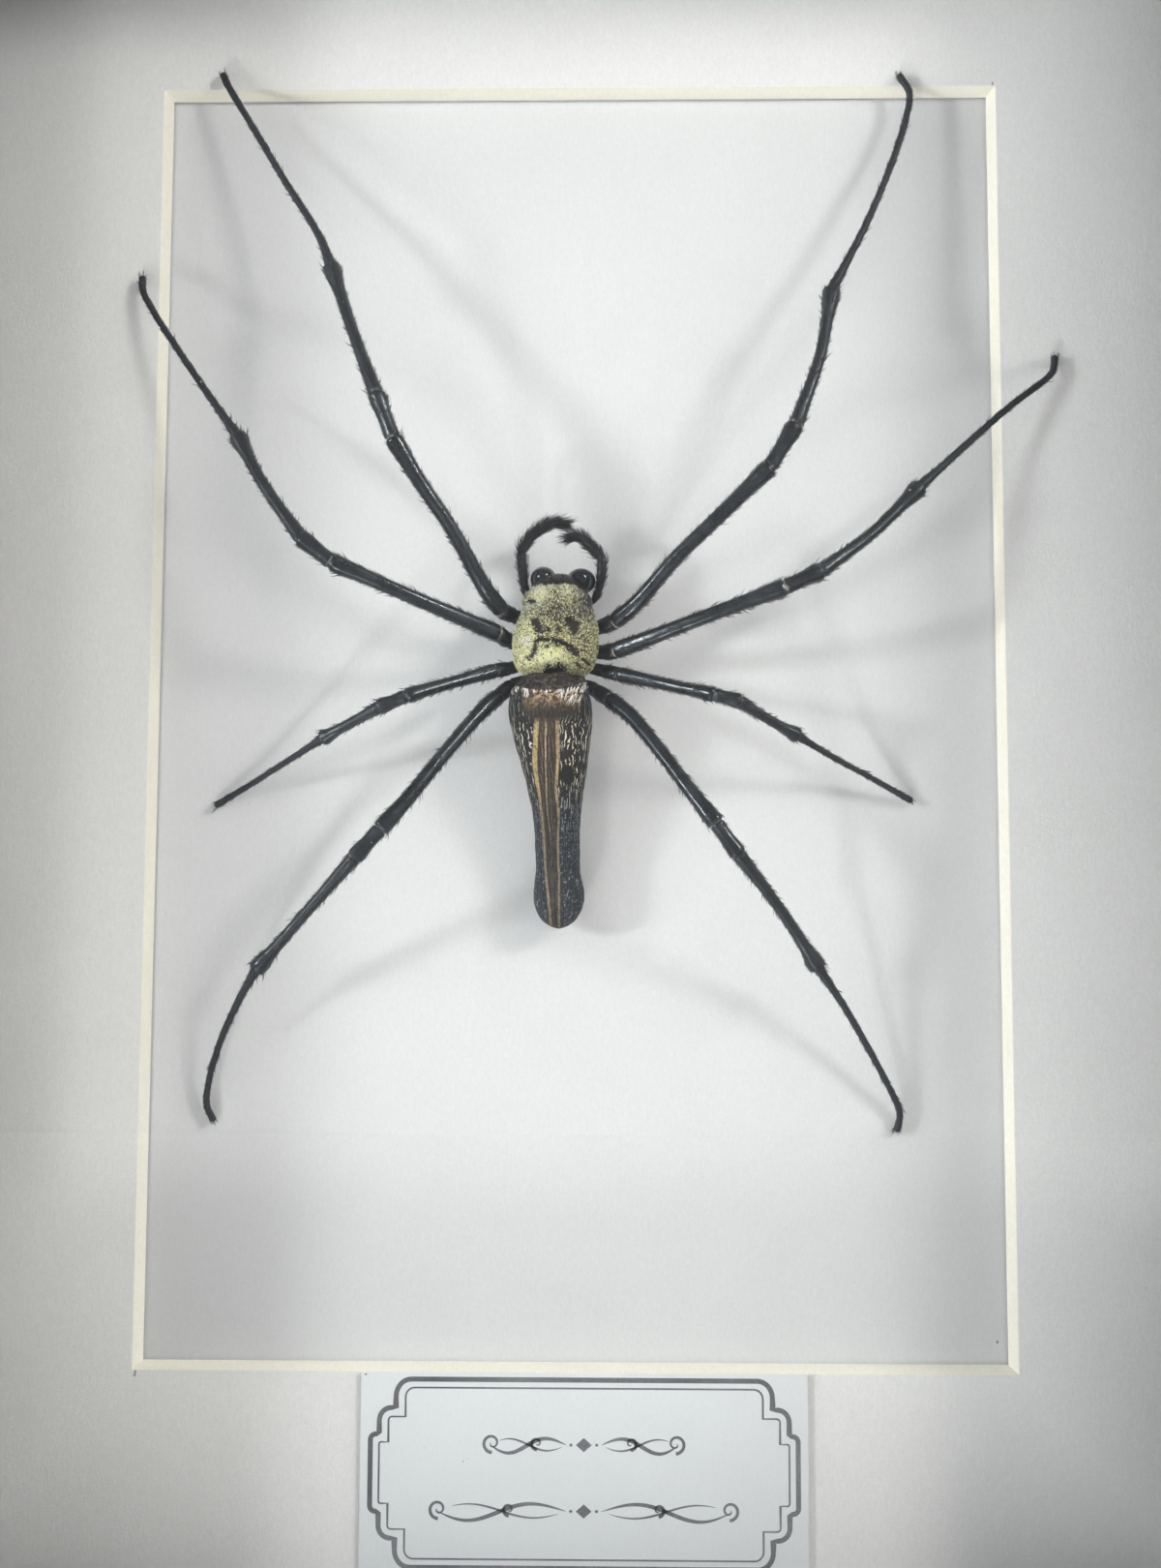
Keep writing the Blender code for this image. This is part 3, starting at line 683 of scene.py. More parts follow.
def ornamentStrokes():
    # plain traditional dividers where the two lines of the name stand
    strokes = []
    steps, start = dividers["steps"], dividers["start"]

    def taper(points, width, both=False):
        last = len(points) - 1
        widths = [width * (math.sin(math.pi * k / last) ** 0.7 if both else (1 - k / last) ** 0.6) + 0.03
                  for k in range(last + 1)]
        strokes.append((points, widths, False))

    for level, half, swell in dividers["rows"]:
        for side in (-1, 1):
            def at(x, z):
                return Vector((side * x, level + z))

            wave, echo = [], []
            for k in range(steps + 1):
                share = k / steps
                late = 0.06 + 0.82 * share
                wave.append(at(start + (half - start) * share,
                               swell * math.sin(math.pi * 2 * share) * (0.55 + 0.45 * share)))
                echo.append(at(start + (half - start) * late, -0.62 * swell * math.sin(math.pi * 2 * late)))
            taper(wave, 0.42, both=True)
            taper(echo, 0.2, both=True)
            for away, turns, size in ((half, 1.3, 0.95), (half * 0.52, 1.1, 0.62)):
                curl = []
                for k in range(steps + 1):
                    radius = size * (1 - k / steps) ** 0.75 + 0.06
                    turn = math.pi * 2 * turns * k / steps
                    curl.append(at(away - 0.2 + radius * math.sin(turn), 0.15 - radius * math.cos(turn)))
                taper(curl, 0.34)
            strokes.append(([at(1.22, 0), at(1.4, 0), at(1.58, 0)], [0.1, 0.4, 0.1], False))
        middle = [Vector((x, level)) for x in (-0.85, 0, 0.85)]
        strokes.append((middle, [0.02, 1.5, 0.02], False))
    return strokes


def makeLabel():
    paper = makePaperFinish("labelPaper", labelLook["paper"], labelLook["paperShade"], 0.00002, 0.55)[0]
    softenNode("name_label", "label_card", paper, 0.00005, 2)
    strokes = ornamentStrokes()
    for line, width in ((outerLine, labelLook["thick"]), (innerLine, labelLook["thin"])):
        path = wholePath(line)
        strokes.append((path, [width] * len(path), True))
    deselectAll()
    bpy.ops.mesh.primitive_plane_add(size=0.001)
    inkSheet = view.objects.active
    inkSheet.name = "label_print"
    shape = bmesh.new()
    depth = (labelLook["front"] - labelLook["printLift"]) / 1000
    for points, widths, closed in strokes:
        flat, faces = inkRibbon(points, widths, closed)
        corners = [shape.verts.new(((p.x + labelLook["centre"][0] + layout["windowShift"]) / 1000, depth,
                                    (p.y + labelLook["centre"][1] + layout["centreHeight"]) / 1000)) for p in flat]
        for face in faces:
            made = shape.faces.new([corners[v] for v in face])
            made.normal_update()
            if made.normal.y > 0:
                made.normal_flip()
    shape.to_mesh(inkSheet.data)
    shape.free()
    finish, tree, shader = newFinish("printedInk", Roughness=0.5)
    place = objectPlace(tree)
    screen = grainAt(tree, place, 5200, 2, 0.6)
    fade = grainAt(tree, place, 120, 2)
    worn = timesPlus(tree, fade, 0.5, times(tree, screen, 0.5))
    dress(shader, Base_Color=gradient(tree, worn, [(0.35, labelLook["ink"]), (0.68, labelLook["wornInk"])]))
    inkSheet.data.materials.append(finish)
    finishPiece(inkSheet)


makeLabel()
print("mount and label dressed")

# each limb: girth, root, then its segments as runs of length, heading and end height, as in the solids
limbs = {
    "left_leg_1": (1.0, (-4.5, 9.0, 3.6), (
        ("coxa", ((2.8, 154, 4.0),)),
        ("trochanter", ((1.3, 166, 5.2),)),
        ("femur", ((3.0, 129, 7.4), (6.7, 120, 10.0), (6.2, 125, 12.0), (5.4, 122, 13.2))),
        ("patella", ((5.3, 111, 13.2),)),
        ("tibia", ((6.8, 111, 11.4), (10.6, 109, 8.0))),
        ("metatarsus", ((4.3, 112, 7.0), (7.5, 121, 5.4), (9.3, 120, 3.7))),
        ("tarsus", ((6.1, 120, 2.7), (1.8, 113, 2.2))))),
    "left_leg_2": (1.0, (-4.6, 6.9, 3.6), (
        ("coxa", ((2.9, 174, 4.2),)),
        ("trochanter", ((1.4, 149, 5.6),)),
        ("femur", ((5.9, 162, 9.2), (6.6, 160, 12.0), (6.4, 158, 13.4))),
        ("patella", ((4.4, 141, 13.0),)),
        ("tibia", ((8.2, 125, 10.8), (6.9, 119, 8.2))),
        ("metatarsus", ((7.9, 125, 6.0), (9.1, 124, 4.0))),
        ("tarsus", ((3.0, 121, 3.2), (2.4, 118, 2.6), (2.0, 94, 2.2))))),
    "left_leg_3": (0.88, (-4.6, 5.0, 3.6), (
        ("coxa", ((2.9, -164, 4.2),)),
        ("trochanter", ((1.7, -163, 5.6),)),
        ("femur", ((7.7, -158, 10.2), (2.3, -158, 11.2))),
        ("patella", ((3.3, -159, 10.6),)),
        ("tibia", ((7.2, -157, 6.4),)),
        ("metatarsus", ((9.7, -152, 1.8),)),
        ("tarsus", ((5.0, -151, 0.7),)))),
    "left_leg_4": (0.96, (-4.4, 3.3, 3.6), (
        ("coxa", ((2.9, -160, 4.0),)),
        ("trochanter", ((2.0, -135, 5.2),)),
        ("femur", ((2.3, -133, 6.8), (6.8, -127, 9.8), (6.7, -126, 12.0), (4.1, -130, 12.8))),
        ("patella", ((4.1, -133, 12.2),)),
        ("tibia", ((16.5, -134, 5.8),)),
        ("metatarsus", ((4.0, -121, 4.6), (4.2, -117, 3.2), (4.3, -110, 2.0))),
        ("tarsus", ((3.5, -99, 1.0), (2.2, -67, 0.7))))),
    "right_leg_1": (1.0, (0.4, 8.7, 3.6), (
        ("coxa", ((2.5, 5, 4.0),)),
        ("trochanter", ((1.6, 16, 5.2),)),
        ("femur", ((3.1, 35, 7.4), (6.1, 46, 10.2), (5.6, 42, 12.0), (8.2, 43, 13.6))),
        ("patella", ((5.5, 59, 13.4),)),
        ("tibia", ((8.7, 71, 11.2), (8.9, 79, 8.2))),
        ("metatarsus", ((9.8, 64, 5.8), (8.2, 68, 4.2), (5.3, 72, 3.2))),
        ("tarsus", ((3.9, 80, 2.6), (2.9, 116, 2.2))))),
    "right_leg_2": (1.0, (0.5, 6.5, 3.6), (
        ("coxa", ((2.7, -11, 4.2),)),
        ("trochanter", ((1.4, -1, 5.6),)),
        ("femur", ((4.8, 15, 8.6), (6.6, 17, 11.4), (7.8, 18, 13.4))),
        ("patella", ((4.4, 26, 12.8),)),
        ("tibia", ((7.5, 39, 10.4), (8.0, 46, 8.2))),
        ("metatarsus", ((8.3, 44, 5.8), (6.5, 43, 4.2), (4.9, 39, 3.0))),
        ("tarsus", ((2.0, 44, 2.6), (2.2, 81, 2.2))))),
    "right_leg_3": (0.88, (0.5, 4.6, 3.6), (
        ("coxa", ((2.8, -15, 4.2),)),
        ("trochanter", ((1.8, -19, 5.6),)),
        ("femur", ((10.9, -17, 11.2),)),
        ("patella", ((2.8, -14, 10.8),)),
        ("tibia", ((3.8, -27, 8.6), (3.5, -24, 6.4))),
        ("metatarsus", ((4.5, -27, 4.1), (5.0, -25, 2.0))),
        ("tarsus", ((5.4, -28, 0.7),)))),
    "right_leg_4": (0.96, (0.3, 3.0, 3.6), (
        ("coxa", ((2.4, -33, 4.0),)),
        ("trochanter", ((1.9, -38, 5.2),)),
        ("femur", ((3.3, -42, 7.2), (5.7, -53, 9.8), (5.1, -55, 11.6), (4.6, -53, 12.8))),
        ("patella", ((4.1, -54, 12.2),)),
        ("tibia", ((7.3, -51, 9.2), (7.6, -55, 5.8))),
        ("metatarsus", ((5.0, -55, 4.4), (5.9, -59, 2.8), (4.1, -61, 1.8))),
        ("tarsus", ((3.3, -66, 1.0), (2.2, -101, 0.7))))),
    "left_palp": (1.0, (-5.3, 11.6, 4.2), (
        ("palpBase", ((1.9, 104, 5.0),)),
        ("palpArm", ((3.5, 96, 5.8),)),
        ("palpTip", ((0.9, 72, 5.8), (2.2, 54, 5.3), (2.1, 31, 4.7), (2.0, 0, 4.2))))),
    "right_palp": (1.0, (1.7, 11.2, 4.2), (
        ("palpBase", ((1.9, 62, 5.0),)),
        ("palpArm", ((1.7, 80, 5.6), (1.9, 87, 5.8))),
        ("palpTip", ((2.1, 133, 5.4), (1.7, 135, 4.8), (1.5, 188, 4.3))))),
}
# radius along each kind of segment, in mm
girths = {
    "coxa": ((0.0, 0.62), (0.4, 0.74), (1.0, 0.84)),
    "trochanter": ((0.0, 0.86), (0.5, 0.95), (1.0, 0.92)),
    "femur": ((0.0, 0.96), (0.05, 0.98), (0.14, 0.90), (0.3, 0.83), (0.6, 0.79),
              (0.84, 0.86), (0.95, 1.03), (1.0, 1.0)),
    "patella": ((0.0, 0.92), (0.08, 0.88), (0.3, 0.82), (0.6, 0.87), (0.86, 1.04), (1.0, 0.98)),
    "tibia": ((0.0, 0.88), (0.07, 0.80), (0.3, 0.66), (0.62, 0.64), (0.82, 0.72),
              (0.92, 0.98), (0.97, 1.05), (1.0, 0.98)),
    "metatarsus": ((0.0, 0.66), (0.05, 0.56), (0.18, 0.43), (0.5, 0.38), (0.9, 0.36), (1.0, 0.39)),
    "tarsus": ((0.0, 0.35), (0.3, 0.36), (0.8, 0.39), (0.93, 0.42), (1.0, 0.3)),
    "palpBase": ((0.0, 0.42), (0.5, 0.46), (1.0, 0.48)),
    "palpArm": ((0.0, 0.44), (0.5, 0.49), (0.9, 0.53), (1.0, 0.5)),
    "palpTip": ((0.0, 0.48), (0.2, 0.45), (0.65, 0.46), (0.88, 0.43), (1.0, 0.25)),
}
limbLook = {"sides": 24, "ringStep": 0.75, "neck": 0.76, "groove": 0.06, "shell": (0.004, 0.005, 0.007),
            "bloom": (0.014, 0.018, 0.026), "membrane": (0.17, 0.155, 0.135), "cream": (0.62, 0.53, 0.36)}
# how dull each kind of segment is under its fuzz
dullness = {"coxa": 0.5, "trochanter": 0.2, "femur": 0.0, "patella": 0.15, "tibia": 0.35, "metatarsus": 0.9,
            "tarsus": 1.0, "palpBase": 0.5, "palpArm": 0.6, "palpTip": 1.0}
# how pale the skin is at each joint, from the trochanter out: 0 dark, 0.5 grey, 1 cream
joints = {
    "left_leg_1": (0.2, 1.0, 0.45, 0.25, 0.45, 0.0),
    "left_leg_2": (0.9, 0.95, 0.35, 0.15, 0.25, 0.0),
    "left_leg_3": (0.2, 0.4, 0.3, 0.15, 0.1, 0.0),
    "left_leg_4": (0.2, 0.35, 0.3, 0.35, 0.15, 0.0),
    "right_leg_1": (0.2, 1.0, 0.4, 0.45, 0.25, 0.0),
    "right_leg_2": (0.2, 1.0, 0.6, 0.3, 0.4, 0.0),
    "right_leg_3": (0.2, 0.4, 0.3, 0.2, 0.25, 0.0),
    "right_leg_4": (0.2, 0.5, 0.45, 0.2, 0.2, 0.0),
    "left_palp": (0.15, 0.2),
    "right_palp": (0.15, 0.2),
}
# hairs on each kind of segment: how many per mm, length, and lean away from the shell
coats = {
    "coxa": (8, 0.45, 0.8), "trochanter": (14, 0.45, 0.9), "femur": (28, 0.58, 0.85), "patella": (28, 0.55, 0.85),
    "tibia": (34, 0.58, 0.8), "metatarsus": (44, 0.5, 0.65), "tarsus": (60, 0.42, 0.6),
    "palpBase": (45, 0.5, 0.8), "palpArm": (80, 0.85, 0.9), "palpTip": (150, 1.15, 0.8),
}

# a few of the hairs are longer, thicker spines
hairLook = {"width": 0.04, "spineWidth": 0.068, "spineLength": 1.9, "spineShare": 0.09}


def curvePoint(corners, share):
    # a smooth path through a segment's corners
    if len(corners) == 2:
        return corners[0].lerp(corners[1], share)
    rows, run = [], 0.0
    for k, corner in enumerate(corners):
        run += (corner - corners[k - 1]).length if k else 0.0
        rows.append((run, *corner))
    return Vector(follow(rows, share * run))


def limbStations(name):
    girth, root, segments = limbs[name]
    stations = []
    start = Vector(root)
    for number, (kind, runs) in enumerate(segments):
        corners = [start]
        for length, heading, height in runs:
            turn = math.radians(heading)
            last = corners[-1]
            corners.append(Vector((last.x + length * math.cos(turn), last.y + length * math.sin(turn), height)))
        total = sum((b - a).length for a, b in zip(corners, corners[1:]))
        shares = []
        if number:
            stations.append((corners[0], None, joints[name][number - 1], kind))
            shares += [0.10 / total, 0.22 / total, 0.5 / total]
        else:
            shares += [0.0]
        inner = int((total - 1.0) / limbLook["ringStep"])
        shares += [(0.5 + (total - 1.0) * (k + 0.5) / max(inner, 1)) / total for k in range(inner)]
        last = number == len(segments) - 1
        shares += [1 - 0.22 / total, 1 - 0.09 / total] if not last else [1 - 0.5 / total, 1 - 0.2 / total, 1.0]
        for share in shares:
            radius = follow(girths[kind], share)[0] * girth
            fromEnd = min(share, 1 - share) * total
            pale = 0.0
            if fromEnd < 0.12 and number and not (last and share > 0.5):
                radius *= 0.95
                pale = joints[name][number - 1] * 0.8 if share < 0.5 else 0.0
            stations.append((curvePoint(corners, share), radius, pale, kind))
        start = corners[-1]
    # a joint's skin is a little narrower than the two shells it joins
    filled = []
    for k, (place, radius, pale, kind) in enumerate(stations):
        if radius is None:
            radius = limbLook["neck"] * min(stations[k - 1][1], stations[k + 1][1])
        filled.append((place, radius, pale, kind))
    return filled


def makeLimb(name, finish):
    stations = limbStations(name)
    seed = sum(ord(letter) for letter in name)
    draw = random.Random(seed)
    places = [s[0] for s in stations]
    grooveTurn = draw.uniform(0.9, 2.2)
    rings = []
    for k, (place, radius, pale, kind) in enumerate(stations):
        direction = (places[min(k + 1, len(places) - 1)] - places[max(k - 1, 0)]).normalized()
        side = direction.cross(Vector((0, 0, 1))).normalized()
        lift = side.cross(direction)
        ring = []
        for i in range(limbLook["sides"]):
            turn = 2 * math.pi * i / limbLook["sides"]
            wrinkle = noise.noise(Vector((math.cos(turn) * 1.6 + seed, math.sin(turn) * 1.6, k * 0.35)))
            size = radius * (1 + 0.03 * wrinkle)
            if kind in ("femur", "tibia", "patella"):
                size *= 1 - limbLook["groove"] * hump(turn, grooveTurn, 0.3)
            point = place + size * (side * math.cos(turn) + lift * math.sin(turn))
            ring.append(spot(*point))
        rings.append(ring)
    limb = drawTube(name + "_shell", rings)
    rows, orders = ringNumbers(limb)
    keepValues(limb, "pale", [stations[r][2] for r in rows])
    keepValues(limb, "dull", [dullness[stations[r][3]] for r in rows])
    applyModifier(limb, "SUBSURF", levels=1, render_levels=1)
    limb.data.materials.append(finish)
    bpy.ops.object.shade_smooth()
    return finishPiece(limb, (name,)), stations


def makeLimbHairs(name, stations, finish):
    seed = sum(ord(letter) for letter in name) + 7
    draw = random.Random(seed)
    places = [s[0] for s in stations]
    roots, headings, normals, lengths, widths = [], [], [], [], []
    for k in range(1, len(stations) - 1):
        place, radius, _, kind = stations[k]
        density, reach, lean = coats[kind]
        following, wide = stations[k + 1][0], stations[k + 1][1]
        span = (following - place).length
        wanted = density * span * radius / 0.6
        number = int(wanted) + (draw.random() < wanted % 1)
        direction = (places[k + 1] - places[k - 1]).normalized()
        side = direction.cross(Vector((0, 0, 1))).normalized()
        lift = side.cross(direction)
        for _ in range(number):
            share = draw.random()
            turn = draw.uniform(0, 2 * math.pi)
            out = side * math.cos(turn) + lift * math.sin(turn)
            root = place.lerp(following, share) + out * (radius + (wide - radius) * share) * 0.97
            spine = draw.random() < (hairLook["spineShare"] if "palp" not in kind else 0.0)
            length = reach * draw.uniform(0.6, 1.25) * (hairLook["spineLength"] if spine else 1.0)
            tilt = lean * draw.uniform(0.6, 1.3)
            heading = direction + out * tilt + Vector([draw.uniform(-0.18, 0.18) for _ in range(3)])
            if kind == "palpTip" and draw.random() < 0.2:
                length *= 1.35
            roots.append(spot(*root))
            headings.append(Vector((heading.x, -heading.z, heading.y)))
            normals.append(Vector((out.x, -out.z, out.y)))
            lengths.append(length / 1000)
            widths.append(hairLook["spineWidth" if spine else "width"] * draw.uniform(0.8, 1.2) / 1000)
    lengths, widths = np.array(lengths), np.array(widths)
    coat, step = growHairs(name + "_hairs", hairModels["bentHair"], np.array(roots), np.array(headings),
                           np.array(normals), lengths, widths, lengths * 0.22, seed)
    coat.data.materials.append(finish)
    return finishPiece(coat)


def makeShellFinish(name, glossLow, glossHigh):
    finish, tree, shader = newFinish(name, IOR=1.6, Specular_Tint=(0.84, 0.92, 1.0), Coat_Roughness=0.18)
    place = objectPlace(tree)
    surface = useEffect(tree, shellSurface, Place=place)
    tone = mixColours(tree, ease(tree, surface["Tone"], 0.42, 0.72), limbLook["shell"], limbLook["bloom"])
    pale = readValue(tree, "pale")
    patchy = ease(tree, grainAt(tree, place, 1300, 3, 0.6), 0.40, 0.60)
    ragged = times(tree, pale, patchy)
    skin = gradient(tree, ragged, [(0.0, limbLook["shell"]), (0.4, limbLook["membrane"]), (0.8, limbLook["cream"])])
    seen = ease(tree, ragged, 0.08, 0.3)
    dress(shader, Base_Color=mixColours(tree, seen, tone, skin))
    dull = readValue(tree, "dull")
    rough = ease(tree, surface["Tone"], 0.35, 0.7, glossLow, glossHigh)
    dress(shader, Roughness=timesPlus(tree, dull, 0.3, rough))
    dress(shader, Coat_Weight=timesPlus(tree, dull, -0.3, 0.3))
    dress(shader, Normal=relief(tree, surface["Height"], 0.00003, 0.45))
    return finish


def makeHairFinish(name, dark, light):
    finish, tree, shader = newFinish(name, Roughness=0.45, IOR=1.5)
    grain = grainAt(tree, objectPlace(tree), 1600, 1)
    dress(shader, Base_Color=gradient(tree, grain, [(0.35, dark), (0.7, light)]))
    return finish


limbFinish = makeShellFinish("blackLegShell", 0.27, 0.42)
blackHair = makeHairFinish("blackLegHair", (0.010, 0.010, 0.012), (0.03, 0.03, 0.034))
limbStationsByName = {}
for limbName in limbs:
    limbPiece, limbStationsByName[limbName] = makeLimb(limbName, limbFinish)
    makeLimbHairs(limbName, limbStationsByName[limbName], blackHair)
print("legs and palps made")

shieldLook = {"sternumHalf": 1.9, "edge": 5.4, "domePoints": 33, "rings": 46, "furCount": 27000,
              "bare": (0.007, 0.006, 0.005), "bareLight": (0.020, 0.017, 0.013),
              "gold": (0.84, 0.80, 0.37), "pit": (-2.05, 6.6), "pitHeight": 8.5}
# from tail to head: z, left x, right x, crown height, sternum height, backward lean
shieldRows = [
    (2.55, -4.4, 0.0, 6.5, 5.3, 0.0), (2.75, -5.1, 0.7, 7.0, 5.2, 0.0), (3.1, -5.7, 1.15, 7.5, 4.9, 0.0),
    (4.0, -6.6, 2.0, 8.3, 3.3, 0.0), (5.4, -6.9, 2.45, 8.7, 3.0, 0.0),
    (7.1, -7.0, 2.6, 8.9, 3.0, 0.0), (8.6, -6.7, 2.5, 9.0, 3.0, 0.0), (9.8, -6.2, 2.2, 9.2, 3.2, 0.0),
    (10.8, -5.8, 1.9, 9.4, 4.0, 0.1), (12.0, -5.85, 1.9, 9.5, 4.6, 0.5), (13.0, -5.6, 1.6, 9.2, 4.9, 1.0),
    (13.6, -5.2, 1.3, 8.6, 5.0, 1.2), (14.1, -4.9, 1.1, 7.8, 5.2, 1.2), (14.45, -4.5, 0.8, 7.1, 5.4, 1.1),
    (14.65, -3.9, 0.2, 6.6, 5.5, 1.0),
]
# dark marks on the shield as strokes: x and z of their points, then half width
shieldMarks = [
    (((-4.35, 8.6), (-4.05, 8.3), (-3.9, 7.8)), 0.46), (((-4.5, 8.75), (-4.3, 8.6)), 0.3),
    (((-0.65, 8.6), (-0.25, 8.25), (-0.15, 7.7)), 0.46), (((-0.2, 8.4), (0.25, 8.45)), 0.3),
    (((-2.9, 7.8), (-2.85, 7.7)), 0.24), (((-1.75, 7.8), (-1.7, 7.65)), 0.24),
    (((-4.2, 6.55), (-3.5, 6.75), (-2.9, 6.6)), 0.24), (((-4.3, 6.5), (-4.35, 5.75)), 0.22),
    (((-4.3, 5.6), (-4.45, 5.3), (-4.7, 4.95)), 0.32), (((-2.3, 6.6), (-1.35, 6.3), (-0.6, 5.85)), 0.26),
    (((-0.6, 5.85), (-0.2, 5.55), (0.1, 5.25)), 0.40), (((-3.2, 5.95), (-3.0, 5.9)), 0.18),
    (((-2.0, 6.05), (-1.8, 5.95)), 0.17),
    (((-3.2, 3.2), (-2.9, 3.95)), 0.26), (((-2.9, 3.4), (-1.6, 3.4)), 0.5), (((-1.95, 3.5), (-1.85, 4.05)), 0.26),
    (((-1.5, 3.95), (-1.3, 3.75)), 0.18), (((-5.1, 11.1), (-4.4, 10.85)), 0.22), (((0.9, 4.6), (1.5, 4.2)), 0.16),
    (((0.2, 4.2), (0.7, 3.8)), 0.14), (((-5.3, 4.9), (-4.9, 4.5)), 0.14),
]


def strokeDistance(x, z, points):
    best = 99.0
    for (ax, az), (bx, bz) in zip(points, points[1:]):
        run = (bx - ax) ** 2 + (bz - az) ** 2
        t = min(max(((x - ax) * (bx - ax) + (z - az) * (bz - az)) / max(run, 1e-9), 0), 1)
        best = min(best, math.hypot(x - ax - t * (bx - ax), z - az - t * (bz - az)))
    return best


def markDepth(x, z):
    return max(1 - strokeDistance(x, z, points) / width for points, width in shieldMarks)


def shieldTone(x, z):
    # bright tail end and left side, brown waist, pale brow, dull right side
    tone = 0.53 + 0.64 * hump(x, -2.8, 2.5) * hump(z, 4.4, 1.5) + 0.14 * hump(x, -5.6, 1.3) * hump(z, 7.0, 2.2)
    tone += 0.50 * hump(x, -3.9, 1.0) * hump(z, 11.9, 0.9) + 0.28 * hump(x, -0.9, 1.0) * hump(z, 12.1, 0.8)
    tone -= 0.31 * hump(x, -1.6, 2.6) * hump(z, 9.6, 1.0) + 0.12 * hump(x, -1.95, 0.35) * (z > 6.8)
    tone -= 0.55 * hump(x, 1.4, 1.1) * hump(z, 11.2, 1.5) + 0.35 * hump(x, -5.7, 0.6) * hump(z, 11.9, 0.9)
    return tone - 0.16 * hump(x, 1.3, 1.3) * hump(z, 6.2, 2.4) - 0.30 * max(0.0, 1 + 1.6 * markDepth(x, z))


def shieldRelief(x, z):
    # the furrow behind the head, grooves that run out from the middle pit, and sunken dark spots
    fromPitX, fromPitZ = x - shieldLook["pit"][0], z - shieldLook["pit"][1]
    fromMiddle = math.hypot(fromPitX, fromPitZ)
    turn = math.atan2(fromPitZ, fromPitX)
    lift = -0.28 * hump(z, 10.3 + 0.12 * abs(x + 2.0) ** 1.5, 0.65)
    lift += 0.16 * hump(x, -4.0, 1.2) * hump(z, 12.3, 1.0) + 0.16 * hump(x, -0.1, 1.2) * hump(z, 12.2, 1.0)
    lift -= 0.10 * max(0.0, math.cos(turn * 7 + 0.4)) ** 3 * min(1.0, fromMiddle / 2) * (z < 10)
    lift -= 0.16 * max(0.0, markDepth(x, z) + 0.3)
    lift += 0.05 * noise.noise(Vector((x * 1.3, z * 1.3, 4.0)))
    return lift


def rounded(value, fullness):
    return math.copysign(abs(value) ** fullness, value)


def makeShieldFinish():
    finish, tree, shader = newFinish("darkShieldShell", IOR=1.5, Specular_IOR_Level=0.35)
    place = objectPlace(tree)
    surface = useEffect(tree, shellSurface, Place=place)
    bare = mixColours(tree, ease(tree, surface["Tone"], 0.4, 0.7), shieldLook["bare"], shieldLook["bareLight"])
    patches = times(tree, readValue(tree, "gold"), ease(tree, grainAt(tree, place, 2600, 2), 0.36, 0.52))
    dress(shader, Base_Color=mixColours(tree, patches, bare, shieldLook["gold"]))
    dress(shader, Roughness=ease(tree, surface["Tone"], 0.3, 0.7, 0.28, 0.45))
    dress(shader, Normal=relief(tree, surface["Height"], 0.00003, 0.5))
    return finish


def makeShield():
    rings = []
    points = shieldLook["domePoints"]
    firstZ, lastZ = shieldRows[0][0], shieldRows[-1][0]
    for k in range(shieldLook["rings"]):
        z = firstZ + (lastZ - firstZ) * k / (shieldLook["rings"] - 1)
        left, right, crown, sternum, lean = follow(shieldRows, z)
        middle, half = (left + right) / 2, (right - left) / 2
        keel = min(shieldLook["sternumHalf"], half * 0.6)
        edge = shieldLook["edge"]
        section = []
        for i in range(points):
            turn = math.pi * i / (points - 1)
            section.append((half * rounded(math.cos(turn), 0.85),
                            edge + (crown - edge) * rounded(math.sin(turn), 0.85), True))
        section += [(-half * 0.72, edge - 0.2, False), (-keel, edge - 0.35, False), (-keel * 0.9, sternum, False),
                    (0.0, sternum - 0.1, False), (keel * 0.9, sternum, False), (keel, edge - 0.35, False),
                    (half * 0.72, edge - 0.2, False)]
        low = sternum - 0.1
        ring = []
        for x, height, onDome in section:
            share = (height - low) / (crown - low)
            placeZ = z - lean * (1 - share * share)
            lift = shieldRelief(middle + x, placeZ) * share if onDome else 0.0
            ring.append(spot(middle + x, placeZ, height + lift))
        rings.append(ring)
    shield = drawTube("shield_shell", rings)
    ringNumbers(shield)
    golds = []
    for x, z, height in windowPlaces(vertexPlaces(shield)):
        furred = height > shieldLook["edge"] and z < 12.3 - 0.6 * max(0.0, x)
        clear = min(1.0, max(0.0, -0.9 * markDepth(x, z) - 0.1))
        golds.append(clear * min(1.0, max(0.0, 1.6 * shieldTone(x, z) - 0.6)) * furred)
    keepValues(shield, "gold", golds)
    shield.data.materials.append(makeShieldFinish())
    return finishPiece(shield, ("cephalothorax",))


furLook = {"sheen": (1.0, 0.98, 0.72),
           "gold": [(0.0, (0.012, 0.010, 0.007)), (0.26, (0.10, 0.072, 0.035)), (0.46, (0.60, 0.52, 0.27)),
                    (0.68, (1.0, 0.97, 0.45)), (1.0, (1.0, 1.0, 0.66))],
           "grey": [(0.0, (0.010, 0.010, 0.010)), (0.42, (0.20, 0.19, 0.17)), (1.0, (0.95, 0.95, 0.95))]}


def makeFurFinish():
    finish, tree, shader = newFinish("goldenFur", IOR=1.5, Roughness=0.38, Sheen_Weight=0.35,
                                     Sheen_Tint=furLook["sheen"])
    tone = readValue(tree, "tone")
    gold, grey = gradient(tree, tone, furLook["gold"]), gradient(tree, tone, furLook["grey"])
    dress(shader, Base_Color=mixColours(tree, readValue(tree, "silver"), gold, grey))
    return finish


